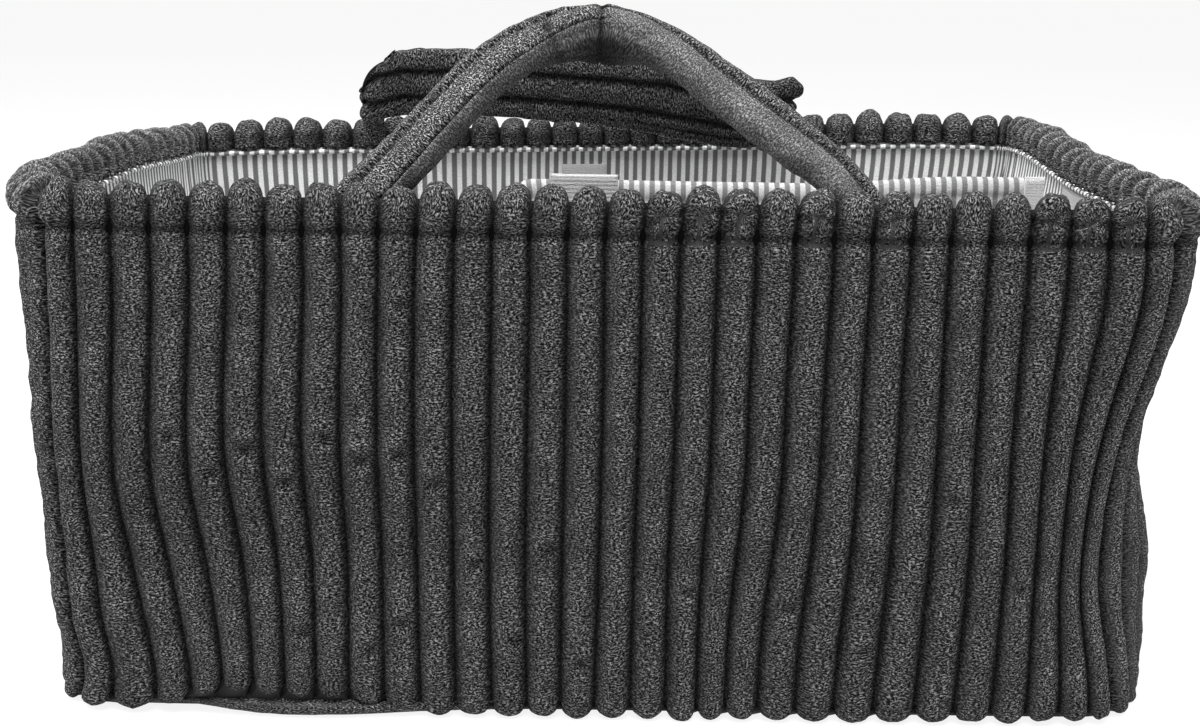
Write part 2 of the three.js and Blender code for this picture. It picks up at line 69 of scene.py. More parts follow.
# Studio
WHITE = (1, 1, 1, 1)
WORLD_STRENGTH, HORIZON_STRENGTH = 0.32, 0.94
HORIZON_FADE_SHARES = (0.06, 0.24)
FLOOR_REACH = 80.0
FLOOR_COLOUR = (0.2, 0.2, 0.2, 1)
FLOOR_GLOW = 0.86
LAMP_TARGET = (0, 0, 0.1)
# Each lamp's name, place, size and power
LAMPS = [
    ("overhead", (-0.20, -0.20, 1.5), (1.8, 1.5), 54),
    ("left", (-1.5, -0.5, 0.8), (0.8, 0.8), 8),
    ("right", (1.5, -0.5, 0.8), (0.8, 0.8), 8),
]

# Basket
CORNER_RADIUS = 0.019
CLEARANCE = 0.0003
RIM_THICKNESS = 0.016
PLUSH_BACKING = 0.0057
BACKING_ROWS = 12
BOARD_THICKNESS = 0.004
LINING_THICKNESS = 0.001
SEWN_STEP = 0.004

# Wales of the plush
WALE_PITCH = 0.0124
WALE_HEIGHT = 0.0052
WALE_HALF_SHARES = (0, 0.036, 0.055, 0.10, 0.17, 0.27, 0.38)
WALE_WIDTH_SHARE = 0.91
WALE_SIDE_POWER = 2.0
ROW_STEP = 0.0013
FOOT_ROUND, FOOT_ROUND_STEPS = 0.0035, 6
FOOT_DROP, FOOT_FADE_HEIGHT, FLOOR_GAP = 0.0030, 0.05, 0.0002
FOOT_SHARE, FACING_SHARE, HEM_SHARE = 0.75, 0.9, 0.6
# How much the crowns, the beads of the rim and the feet differ from wale to wale
PLUSH_SEED = 100
CROWN_SHARES = (0.92, 1.0)
BEAD_RISES = (-0.0007, 0.0009)
FOOT_RISES = (0.0, 0.0012)
# Layers of unevenness, each with a height, a size and a seed
PLUSH_LUMPS = [(0.00055, 0.0065, 1), (0.00045, 0.0024, 2)]
STRAP_LUMPS = [(0.0006, 0.007, 81), (0.0003, 0.003, 82)]
BASE_LUMPS = [(0.0003, 0.005, 41)]
FLOOR_LUMPS = [(0.0005, 0.05, 31)]
DIVIDER_LUMPS = [(0.0005, 0.02, 72)]
DIVIDER_CRUMPLES = [(0.0011, (0.007, 1.0, 0.012), 71)]
FLAP_LUMPS = [(0.0004, 0.008, 64)]
SMALL_DRIFTS = [(0.0009, (0.030, 0.060, 1.0), 5)]
WIDE_DRIFTS = [(0.0025, (0.070, 0.070, 1.0), 9)]
DRIFT_FADE_HEIGHTS = (0.150, 0.176)

# The pinch under the rim, the rolled ends and the leaf-thin ribs on these
PINCH_DROP, PINCH_DEPTH = 0.0024, 0.0017
PINCH_SPREAD, PINCH_LINE = 0.0021, 0.0008
PINCH_WIDTH_SHARE = 0.03
END_ROLL_SWELL, END_ROLL_SPREAD = 0.0062, 0.0075
END_ROLL_START, END_ROLL_FULL = 0.014, 0.002
END_ROLL_BACK_SHARE = 0.65
LEAF_HEIGHT = 0.0022
LEAF_WIDTH_SHARE = 0.26

# How the plush is shaded, with light and shade painted into its colour: painted shade in the grooves,
# the hollows, the pinch and where the pile parts, a painted highlight on the leaves, and smoother pile
# on brushed flanks
GROOVE_LUMP_SHARE, LEAF_SMOOTH_SHARE = 0.3, 0.6
PINCH_SHADE_SHARE, PINCH_LINE_SHADE_SHARE = 0.30, 0.65
PARTED_SHADE_SHARE = 0.7
HOLLOW_SHADE_SHARE = 0.25
SIDE_SHADE_POWER, LEAF_SHADE_POWER = 2.4, 0.7
LEAF_HIGHLIGHT_SHARE, LEAF_SLEEK_SHARE = 1.2, 0.65
FLANK_SHARES = (-0.30, 0.14)
FLANK_LEAST_SHARE, FLANK_SIZE, FLANK_SEED = 0.6, 0.05, 7
BEAD_TURN_SHARES = (0.05, 0.5)
BEAD_SPREAD_SHARE, BEAD_SHORTEN_SHARE = 0.8, 0.5

# Underside
BASE_COLUMNS = 160
BASE_EDGE_ROUND = 0.0032
BASE_SINK = 0.0005
BASE_SPILL, BASE_SPILL_MIDDLE, BASE_SPILL_REACH = 0.0076, -0.112, 0.054
BASE_FRONT_SHARE = 0.75
BASE_LIFT, BASE_LIFT_SHARE = 0.003, 0.85
# Painted shade in the underside's grooves and a painted highlight along its rounded edge
BASE_GROOVE_SHADE_SHARE, BASE_EDGE_HIGHLIGHT = 0.3, 1.3

# Lining, with puckers in the corners
LINING_STEP, LINING_ROWS = 0.0021, 60
LINING_SLACK, LINING_SLACK_SIZE, LINING_SEED = 0.0010, 0.045, 21
PUCKER_REACH, PUCKER_HEIGHT, PUCKER_LOWEST = 0.022, 0.0007, -0.0004
PUCKER_WAVE, PUCKER_TURNS, PUCKER_FOOT_SHARE = 0.0011, 3, 0.3
PUCKER_SHIFT, PUCKER_SHIFT_TURNS = 0.0008, 5
FLOOR_ROWS, FLOOR_COLUMNS = 100, 150
BOARD_COLUMNS, BOARD_ROWS, BASE_BOARD_STEPS = 24, 14, 60

# Piping and tapes
PIPING_SIDES = 10
PIPING_SHARE, PIPING_LUMP_SHARE = 0.64, 0.08
PIPING_LUMP_SIZE, PIPING_SEED = 0.006, 51
TAPE_COLUMNS, TAPE_ROWS = 24, 90
TAPE_EDGE, TAPE_EDGE_SHARE = 0.0015, 0.55
TAPE_WAVE, TAPE_WAVE_SIZE, TAPE_SEED = 0.0003, 0.012, 61
TAPE_END_SIZE, TAPE_END_SHIFT, TAPE_END_SEED = 0.009, 0.5, 63
BACK_TAPE_DROP, FACE_TAPE_RISE = 0.0033, 0.0026

# Divider and the hook tape that stands out of its held end
DIVIDER_COLUMNS, DIVIDER_ROWS, DIVIDER_ROW_POWER = 180, 110, 1.25
DIVIDER_SAG, DIVIDER_END_RISE = 0.0024, 0.0038
DIVIDER_RISE_START, DIVIDER_RISE_FULL = 0.080, 0.150
DIVIDER_FREE_ROUND, DIVIDER_HELD_ROUND = 0.010, 0.006
DIVIDER_FOOT_SLOPE, DIVIDER_FOOT_EDGE = 3, 0.001
DIVIDER_EDGE_REACH, DIVIDER_EDGE_HALF = 0.006, 0.0006
DIVIDER_SEAM_INSET, DIVIDER_SEAM_REACH, DIVIDER_SEAM_DEPTH = 0.0075, 0.0011, 0.0006
DIVIDER_SPARE, DIVIDER_LEAST_HALF = 0.0011, 0.0003
CRUMPLE_REACH = 0.03
CRUMPLE_SHIFT, CRUMPLE_SHIFT_REACH, CRUMPLE_WAVE = 0.0012, 0.02, 0.004
FLAP_ROWS, FLAP_COLUMNS = 60, 16
FLAP_RISE, FLAP_OVERLAP, FLAP_GAP = 0.0010, 0.0062, 0.0175
FLAP_FORWARD, FLAP_THICKNESS = 0.0048, 0.0014

# Straps, their leans in degrees
STRAP_SQUARENESS = 2.9
STRAP_RING_POINTS = 88
STRAP_LEAST_SLANT_SHARE = 0.75
STRAP_SIDE_SHARES = (0.25, 0.9)
# Painted shade in the straps' sunk grooves and a painted highlight on their seam ridges
STRAP_GROOVE_SHADE_GAIN, STRAP_LEAST_SHARE, STRAP_RIDGE_HIGHLIGHT_SHARE = 2.2, 0.1, 0.7
SEAM_RIDGE = 0.0007
FRONT_STRAP_WIDTH, FRONT_STRAP_THICKNESS = 0.027, 0.012
FRONT_LEAN, FRONT_STEPS = 25, 16
BACK_LEG_WIDTH, BACK_KNEE_WIDTH, BACK_STRAP_THICKNESS = 0.013, 0.018, 0.010
BACK_KNEE_RISE = 0.004
BACK_FORWARD, BACK_RUN_LEAN, BACK_STEPS = 0.016, 18, 18
BACK_LEFT_ROOT, BACK_RIGHT_ROOT = -0.1080, 0.078
BACK_FOLD_SLANT = 0.40

# Pile of the plush: tufts and fine strands, bent in swirls and brushed in patches, its colour painted
# darker in the low slits and lighter on the raised tufts as painted shade
PLUSH_SHEEN, PLUSH_SHEEN_ROUGHNESS = 0.07, 0.45
SPECULAR_LEVEL = 0.05
SWIRL_SIZE, SWIRL_BEND = 0.005, 2.6
TUFT_SIZES, TUFT_DETAIL, TUFT_DISTORTION = (0.00095, 0.00055), 1.5, 0.3
STRAND_SIZES, STRAND_SHARE = (0.0005, 0.0005), 0.28
STANDING_SHARES = (0.40, 0.61)
SLEEK_LEVEL, SLEEK_SHARE = 0.42, 0.8
BRUSHED_SIZES, BRUSHED_SHARES = (0.007, 0.014), (0.78, 1.22)
# Painted shade taken from the crown attribute, darkest in the grooves, and a painted highlight where
# the crown is above 1
GROOVE_CROWNS, GROOVE_SHADE_SHARES = (0.0, 0.85), (0.07, 1.0)
SEAM_HIGHLIGHT_CROWNS, SEAM_HIGHLIGHT_SHARES = (1.05, 1.6), (0.0, 1.2)
PILE_POWER, PILE_HEIGHT = 1.9, 0.0013
# Tones of the pile, from the painted shade of its low slits up to its raised tufts
PILE_SHADE_TONES = (0.004, 0.268)
# The middle of what noise gives
NOISE_SHARES = (0.3, 0.7)

# Striped cloth, tapes and board: dark and light tones, sizes across and along, and relief
STRIPE_PERIOD = 0.0042
STRIPE_EDGE_SHARES = (-0.28, 0.28)
WANDER_SIZES, WANDER_SHARE = (0.004, 0.03), 0.12
THREAD_SIZES, THREAD_SHARES, THREAD_HEIGHT = (0.0004, 0.0007), (0.84, 1.1), 0.0003
# The divider's ticking is the lining's cloth in darker tones, painted shade against the lamp light on
# it
TICKING_TONES, SHADED_PANEL_TONES = (0.19, 0.92), (0.17, 0.47)
FUZZ_SIZES, FUZZ_HEIGHT = (0.0009, 0.0005), 0.0004
TAPE_RELIEF_SHARES, TAPE_DARK_SHARE = (0.2, 1.0), 0.6
LOOP_RIB, LOOP_RIB_SHARE, LOOP_TONE = 0.0012, 0.08, 0.74
RIBBED_RIB, RIBBED_RIB_SHARE, RIBBED_TONE = 0.0016, 0.20, 0.58
FIBRE_SIZES, FIBRE_DETAIL, FIBRE_TONES, FIBRE_HEIGHT = (0.004, 0.002), 3.0, (0.55, 0.68), 0.0002
PLUSH_ROUGHNESS, CLOTH_ROUGHNESS, TAPE_ROUGHNESS, BOARD_ROUGHNESS = 1.0, 0.9, 0.75, 0.85

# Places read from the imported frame
BASKET, DIVIDER = "basket", "divider"
front_low, front_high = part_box("outer_front_panel")
base_low, base_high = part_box("outer_base_panel")
lining_low, lining_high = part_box("lining_front")
floor_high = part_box("lining_floor")[1]
HALF_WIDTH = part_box("outer_right_panel")[1].x
HALF_DEPTH = -front_low.y
FOOT_HEIGHT = front_low.z
RIM_TOP = front_high.z
RIM_RADIUS = RIM_THICKNESS / 2
RIM_MIDDLE = RIM_TOP - RIM_RADIUS
FACING_BOTTOM = lining_high.z + CLEARANCE
PINCH_LEVEL = FACING_BOTTOM - PINCH_DROP
BOARD_INSET = HALF_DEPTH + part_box("front_stiffener")[0].y
LINING_FACE = HALF_DEPTH + lining_low.y + LINING_THICKNESS
LINING_HEIGHT = lining_high.z - lining_low.z


# Numbers

# Large odd numbers that mix the bits of whole ones
CELL_MIXERS = (73856093, 19349663, 83492791)
SEED_MIXER, BIT_MIXER = 2654435761, 1274126177


def lattice_value(cells, seed):
    """A steady pseudo-random number from -1 to 1 for each whole-numbered cell."""
    mixed = seed * SEED_MIXER
    for axis, mixer in enumerate(CELL_MIXERS):
        mixed = mixed ^ cells[..., axis] * mixer
    mixed = (mixed ^ (mixed >> 13)) * BIT_MIXER
    mixed = mixed ^ (mixed >> 16)
    return (mixed & 0xFFFFF) / 0x7FFFF - 1


def noise(points, size, seed):
    """Smooth noise from -1 to 1 with lumps of the given size."""
    spot = points / size
    cell = np.floor(spot).astype(np.int64)
    part = spot - cell
    part = part * part * (3 - 2 * part)
    total = np.zeros(points.shape[:-1])
    for corner in np.ndindex(2, 2, 2):
        weight = np.prod(np.where(corner, part, 1 - part), axis=-1)
        total += weight * lattice_value(cell + np.array(corner), seed)
    return total


def lumps(points, layers):
    """The sum of layers of noise, each with a height, a size and a seed."""
    return sum(height * noise(points, size, seed) for height, size, seed in layers)


def hump(distance):
    """1 at no distance and nearly 0 from 2 on."""
    return np.exp(-distance * distance)


def near(value, middle, reach):
    """1 at the middle and nearly 0 from twice the reach on."""
    return hump((value - middle) / reach)


def mark(value, depth, middle, reach):
    """How deep a hump of this depth is at the value."""
    return depth * near(value, middle, reach)


def from_least(least, share):
    """From the least value, at no share, up to 1."""
    return least + (1 - least) * share


def rounding(from_side, radius):
    """How far a rounded corner falls short of a square one."""
    return radius - np.sqrt(np.maximum(radius**2 - np.maximum(radius - from_side, 0) ** 2, 0))


def smooth_step(value, start, end):
    """0 up to the start, 1 from the end on, and smooth between them."""
    share = np.clip((value - start) / (end - start), 0, 1)
    return share * share * (3 - 2 * share)


def unit(vectors):
    return vectors / np.linalg.norm(vectors, axis=-1, keepdims=True)


def through(controls, steps):
    """A uniform Catmull-Rom curve through rows of numbers, with that many steps between two rows."""
    controls = np.array(controls, float)
    padded = np.vstack([2 * controls[0] - controls[1], controls, 2 * controls[-1] - controls[-2]])
    share = np.arange(steps)[:, None] / steps
    pieces = []
    for p0, p1, p2, p3 in zip(padded, padded[1:], padded[2:], padded[3:]):
        tangent_1, tangent_2 = (p2 - p0) / 2, (p3 - p1) / 2
        cubic = 2 * p1 - 2 * p2 + tangent_1 + tangent_2
        square = -3 * p1 + 3 * p2 - 2 * tangent_1 - tangent_2
        pieces.append(p1 + tangent_1 * share + square * share**2 + cubic * share**3)
    return np.vstack(pieces + [controls[-1:]])


# Meshes

def skin(name, points, cloth, material, wrap_rows=False, wrap_columns=False, **marks):
    """A mesh over a grid of points. cloth gives each point's place in the flat cloth, in metres."""
    rows, columns = points.shape[:2]
    row_quads = rows if wrap_rows else rows - 1
    column_quads = columns if wrap_columns else columns - 1
    r, c = np.meshgrid(np.arange(row_quads), np.arange(column_quads), indexing="ij")
    corners = [(r, c), (r, c + 1), (r + 1, c + 1), (r + 1, c)]
    ids = np.stack([(i % rows) * columns + j % columns for i, j in corners], -1).reshape(-1, 4)
    cloth_rows = np.minimum(np.stack([i for i, _ in corners], -1), cloth.shape[0] - 1)
    cloth_columns = np.minimum(np.stack([j for _, j in corners], -1), cloth.shape[1] - 1)
    flat = cloth[cloth_rows, cloth_columns].reshape(-1, 2)
    chart = [np.stack([j / column_quads, i / row_quads], -1) for i, j in corners]
    chart = np.stack(chart, 2).reshape(-1, 2)

    caps = []
    if wrap_rows and not wrap_columns:
        first = np.arange(rows) * columns
        caps = [first, (first + columns - 1)[::-1]]
    if wrap_columns and not wrap_rows:
        first = np.arange(columns)
        caps = [first[::-1], first + (rows - 1) * columns]
    cap_uv = [np.zeros((len(cap), 2)) for cap in caps]

    mesh = bpy.data.meshes.new(name)
    loops = np.concatenate([ids.ravel(), *caps]).astype(np.int32)
    totals = np.concatenate([np.full(len(ids), 4), [len(cap) for cap in caps]]).astype(np.int32)
    mesh.vertices.add(rows * columns)
    mesh.vertices.foreach_set("co", points.reshape(-1))
    mesh.loops.add(len(loops))
    mesh.loops.foreach_set("vertex_index", loops)
    mesh.polygons.add(len(totals))
    mesh.polygons.foreach_set("loop_start", (np.cumsum(totals) - totals).astype(np.int32))
    mesh.update(calc_edges=True)
    mesh.shade_smooth()
    for layer, values in (("cloth", flat), ("OFBake", chart)):
        uv = mesh.uv_layers.new(name=layer)
        uv.data.foreach_set("uv", np.concatenate([values, *cap_uv]).astype(np.float32).ravel())
    for label, values in marks.items():
        attribute = mesh.attributes.new(label, "FLOAT", "POINT")
        values = np.broadcast_to(values, (rows, columns)).astype(np.float32)
        attribute.data.foreach_set("value", values.ravel())
    mesh.materials.append(material)
    mesh.validate()
    piece = bpy.data.objects.new(name, mesh)
    bpy.context.scene.collection.objects.link(piece)
    return piece


def shell(name, face, back, cloth, material, **options):
    """A thin closed piece from its face and its back, both grids of points."""
    thick = np.linalg.norm(face[0] - back[0], axis=-1).mean()
    both = np.concatenate([cloth, cloth[::-1] + np.array([0, thick]), cloth[:1]], axis=0)
    points = np.concatenate([face, back[::-1]], axis=0)
    return skin(name, points, both, material, wrap_rows=True, **options)


def grid_of(*values):
    """A grid of points, or of places in the cloth, from what each of their numbers is."""
    return np.stack(np.broadcast_arrays(*values), -1)


def belongs(piece, body, slot, *nodes):
    """Attaches a piece to the body it moves with and hides the solids it stands for; the slot is not
    used.
    """
    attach(piece, body)
    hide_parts(*nodes)


# Materials

RANGE_INPUTS = ("From Min", "From Max", "To Min", "To Max")


class Nodes:
    """A material and short ways to add nodes to it."""

    def __init__(self, name, roughness):
        self.material = bpy.data.materials.new(name)
        self.material.use_nodes = True
        self.tree = self.material.node_tree
        self.shader = self.tree.nodes["Principled BSDF"]
        self.shader.inputs["Roughness"].default_value = roughness
        self.shader.inputs["Specular IOR Level"].default_value = SPECULAR_LEVEL

    def add(self, kind, **settings):
        node = self.tree.nodes.new(kind)
        for key, value in settings.items():
            setattr(node, key, value)
        return node

    def join(self, source, target):
        self.tree.links.new(source, target)

    def feed(self, socket, value):
        if isinstance(value, bpy.types.NodeSocket):
            self.join(value, socket)
        else:
            socket.default_value = value

    def math(self, operation, first, second=0.0):
        node = self.add("ShaderNodeMath", operation=operation)
        self.feed(node.inputs[0], first)
        self.feed(node.inputs[1], second)
        return node.outputs[0]

    def cloth(self, across, along):
        """The place in the flat cloth, counted in lengths of these sizes."""
        uv = self.add("ShaderNodeUVMap", uv_map="cloth")
        mapping = self.add("ShaderNodeMapping")
        mapping.inputs["Scale"].default_value = (1 / across, 1 / along, 1)
        self.join(uv.outputs["UV"], mapping.inputs["Vector"])
        return mapping.outputs["Vector"]

    def cloud(self, place, detail, distortion=0.0):
        node = self.add("ShaderNodeTexNoise", noise_dimensions="2D")
        node.inputs["Scale"].default_value = 1
        node.inputs["Detail"].default_value = detail
        node.inputs["Distortion"].default_value = distortion
        self.join(place, node.inputs["Vector"])
        return node

    def speckle(self, sizes, detail=2.0):
        """Noise in the flat cloth with lumps of these sizes across it and along it."""
        return self.cloud(self.cloth(*sizes), detail).outputs["Fac"]

    def span(self, value, source, target=(0.0, 1.0)):
        """A value taken from one range to another and kept inside it."""
        node = self.add("ShaderNodeMapRange")
        for key, number in zip(RANGE_INPUTS, (*source, *target)):
            node.inputs[key].default_value = number
        self.join(value, node.inputs["Value"])
        return node.outputs["Result"]

    def colour(self, tone):
        """Makes the material grey in this tone."""
        node = self.add("ShaderNodeCombineColor")
        for channel in ("Red", "Green", "Blue"):
            self.join(tone, node.inputs[channel])
        self.join(node.outputs["Color"], self.shader.inputs["Base Color"])

    def bump(self, height, distance):
        node = self.add("ShaderNodeBump")
        node.inputs["Distance"].default_value = distance
        node.inputs["Strength"].default_value = 1
        self.join(height, node.inputs["Height"])
        self.join(node.outputs["Normal"], self.shader.inputs["Normal"])


def plush_material():
    """Short dark pile: light tufts parted by small dark slits, painted as shade from the pile's
    height, and painted shade in the grooves.
    """
    nodes = Nodes("plush", PLUSH_ROUGHNESS)
    nodes.shader.inputs["Sheen Weight"].default_value = PLUSH_SHEEN
    nodes.shader.inputs["Sheen Roughness"].default_value = PLUSH_SHEEN_ROUGHNESS
    swirl = nodes.cloud(nodes.cloth(SWIRL_SIZE, SWIRL_SIZE), 1)
    bend = nodes.add("ShaderNodeVectorMath", operation="SCALE")
    nodes.join(swirl.outputs["Color"], bend.inputs[0])
    bend.inputs["Scale"].default_value = SWIRL_BEND
    place = nodes.add("ShaderNodeVectorMath", operation="ADD")
    nodes.join(nodes.cloth(*TUFT_SIZES), place.inputs[0])
    nodes.join(bend.outputs[0], place.inputs[1])
    tufts = nodes.cloud(place.outputs[0], TUFT_DETAIL, TUFT_DISTORTION).outputs["Fac"]
    strands = nodes.math("MULTIPLY", nodes.speckle(STRAND_SIZES, 1), STRAND_SHARE)
    mixed = nodes.math("ADD", nodes.math("MULTIPLY", tufts, 1 - STRAND_SHARE), strands)
    standing = nodes.span(mixed, STANDING_SHARES)
    sleek = nodes.add("ShaderNodeAttribute", attribute_name="sleek").outputs["Fac"]
    smoothed = nodes.math("MULTIPLY", nodes.math("SUBTRACT", SLEEK_LEVEL, standing), sleek)
    pile = nodes.math("ADD", standing, nodes.math("MULTIPLY", smoothed, SLEEK_SHARE))
    brushed = nodes.span(nodes.speckle(BRUSHED_SIZES), NOISE_SHARES, BRUSHED_SHARES)
    # The crown attribute carries painted shade in grooves, pinch, hollows and puckers, and painted
    # highlight on seams, leaf tips and edges
    crown = nodes.add("ShaderNodeAttribute", attribute_name="crown").outputs["Fac"]
    seam = nodes.span(crown, SEAM_HIGHLIGHT_CROWNS, SEAM_HIGHLIGHT_SHARES)
    depth = nodes.math("ADD", nodes.span(crown, GROOVE_CROWNS, GROOVE_SHADE_SHARES), seam)
    # Painted shade: the pile's colour follows its bump, darker in the low slits and lighter on the
    # raised tufts
    shade = nodes.span(nodes.math("POWER", pile, PILE_POWER), (0.0, 1.0), PILE_SHADE_TONES)
    nodes.colour(nodes.math("MULTIPLY", nodes.math("MULTIPLY", shade, depth), brushed))
    nodes.bump(pile, PILE_HEIGHT)
    return nodes.material


def stripe_material(name, tones):
    """Woven ticking: even light and dark stripes with a fine thread."""
    nodes = Nodes(name, CLOTH_ROUGHNESS)
    split = nodes.add("ShaderNodeSeparateXYZ")
    nodes.join(nodes.cloth(STRIPE_PERIOD, STRIPE_PERIOD), split.inputs["Vector"])
    astray = nodes.math("SUBTRACT", nodes.speckle(WANDER_SIZES), 0.5)
    wander = nodes.math("MULTIPLY", astray, WANDER_SHARE)
    turn = nodes.math("MULTIPLY", nodes.math("ADD", split.outputs["X"], wander), 2 * math.pi)
    light = nodes.span(nodes.math("SINE", turn), STRIPE_EDGE_SHARES)
    thread = nodes.speckle(THREAD_SIZES, 1)
    worn = nodes.span(thread, NOISE_SHARES, THREAD_SHARES)
    nodes.colour(nodes.math("MULTIPLY", nodes.span(light, (0.0, 1.0), tones), worn))
    nodes.bump(thread, THREAD_HEIGHT)
    return nodes.material


def tape_material(name, rib, rib_share, tone):
    """Light woven tape with ribs across it."""
    nodes = Nodes(name, TAPE_ROUGHNESS)
    split = nodes.add("ShaderNodeSeparateXYZ")
    nodes.join(nodes.cloth(rib, rib), split.inputs["Vector"])
    ribs = nodes.math("SINE", nodes.math("MULTIPLY", split.outputs["Y"], 2 * math.pi))
    height = nodes.math("ADD", nodes.math("MULTIPLY", ribs, rib_share), nodes.speckle(FUZZ_SIZES))
    nodes.colour(nodes.span(height, TAPE_RELIEF_SHARES, (TAPE_DARK_SHARE * tone, tone)))
    nodes.bump(height, FUZZ_HEIGHT)
    return nodes.material


def board_material():
    """Pressed fibres of the hidden stiffeners."""
    nodes = Nodes("board", BOARD_ROUGHNESS)
    fibre = nodes.speckle(FIBRE_SIZES, FIBRE_DETAIL)
    nodes.colour(nodes.span(fibre, NOISE_SHARES, FIBRE_TONES))
    nodes.bump(fibre, FIBRE_HEIGHT)
    return nodes.material


PLUSH = plush_material()
TICKING = stripe_material("ticking", TICKING_TONES)
SHADED_PANEL_TICKING = stripe_material("panel_ticking", SHADED_PANEL_TONES)
LOOP_TAPE = tape_material("loop_tape", LOOP_RIB, LOOP_RIB_SHARE, LOOP_TONE)
RIBBED_TAPE = tape_material("ribbed_tape", RIBBED_RIB, RIBBED_RIB_SHARE, RIBBED_TONE)
BOARD = board_material()


# Basket walls

class Wall:
    """One side of the basket, drawn as the front one: along it, in from its crowns, and up."""

    def __init__(self, side, half_length, distance, turn):
        self.side = side
        self.straight = 2 * (half_length - CORNER_RADIUS)
        self.distance = distance
        self.turn = turn
        self.arc = math.pi / 4 * CORNER_RADIUS
        self.length = self.straight + 2 * self.arc

    def place(self, along, inset, height):
        half = self.straight / 2
        offset = along - self.length / 2
        angle = np.maximum(np.abs(offset) - half, 0) / CORNER_RADIUS
        reach = CORNER_RADIUS - inset
        x = np.sign(offset) * (np.minimum(np.abs(offset), half) + reach * np.sin(angle))
        y = CORNER_RADIUS - self.distance - reach * np.cos(angle)
        cos, sin = math.cos(self.turn), math.sin(self.turn)
        x, y, z = np.broadcast_arrays(cos * x - sin * y, sin * x + cos * y, height)
        return np.stack([x, y, z], -1)

    def columns(self, step):
        return np.linspace(0, self.length, int(round(self.length / step)) + 1)


WALLS = {
    "front": Wall("front", HALF_WIDTH, HALF_DEPTH, 0),
    "right": Wall("right", HALF_DEPTH, HALF_WIDTH, math.pi / 2),
    "back": Wall("back", HALF_WIDTH, HALF_DEPTH, math.pi),
    "left": Wall("left", HALF_DEPTH, HALF_WIDTH, 3 * math.pi / 2),
}

# Where the soft basket has slumped: a middle, a reach along each axis and a push
SLUMPS = [
    ((-0.190, -0.105, 0.100), (0.050, 0.060, 0.075), (-0.0035, 0.0, 0.0)),
    ((0.190, -0.115, 0.160), (0.045, 0.060, 0.035), (0.004, 0.0, 0.0)),
    ((-0.125, -0.127, 0.108), (0.070, 0.050, 0.030), (0.0, -0.003, 0.0)),
    ((-0.110, -0.127, 0.062), (0.085, 0.050, 0.022), (0.0, 0.0032, 0.0)),
    ((-0.110, -0.127, 0.020), (0.085, 0.050, 0.020), (0.0, -0.002, 0.0)),
    ((0.060, -0.127, 0.090), (0.110, 0.050, 0.060), (0.0, -0.002, 0.0)),
    ((0.100, -0.127, 0.090), (0.110, 0.050, 0.150), (0.0020, 0.0, 0.0)),
    ((0.140, -0.127, 0.060), (0.045, 0.050, 0.090), (0.0036, 0.0, 0.0)),
    ((-0.170, -0.127, 0.150), (0.080, 0.040, 0.080), (0.0020, 0.0, 0.0)),
    ((0.000, -0.127, 0.192), (0.240, 0.040, 0.013), (0.0018, 0.0, 0.0)),
    ((0.040, 0.127, 0.080), (0.120, 0.050, 0.070), (0.0, 0.003, 0.0)),
    ((-0.195, 0.127, 0.190), (0.040, 0.040, 0.030), (0.0, 0.0, -0.002)),
    ((0.195, 0.127, 0.190), (0.030, 0.040, 0.030), (0.0, 0.0, -0.003)),
]
# Each corner's tuck at the foot: how far it is drawn in, its reach, and the height where it ends
CORNER_TUCKS = [
    ((1, -1), (0.012, 0.006), (0.033, 0.024), 0.165),
    ((-1, -1), (0.003, 0.001), (0.032, 0.032), 0.040),
    ((1, 1), (0.010, 0.008), (0.032, 0.032), 0.120),
    ((-1, 1), (0.007, 0.006), (0.032, 0.032), 0.090),
]
TUCK_FOOT_SHARE, TUCK_FULL_SHARE = 0.85, 0.35
# How far the left and the right wall bow out at the foot, the waist and the rim, the heights of
# these, and from where to where along the basket's depth the bow sets in
END_BOWS = ((0.0110, 0.0120, 0.0170), (0.0155, 0.0045, 0.0155))
BOW_FOOT, BOW_WAIST, BOW_RIM = 0.050, 0.103, 0.172
BOW_START, BOW_FULL = -0.137, -0.078
BOW_FROM_MIDDLE = 0.050
# The back rim's tilt, as its rise for each metre to the right
BACK_TILT = 0.027
BACK_TILT_START, BACK_TILT_FULL = 0.0, 0.100


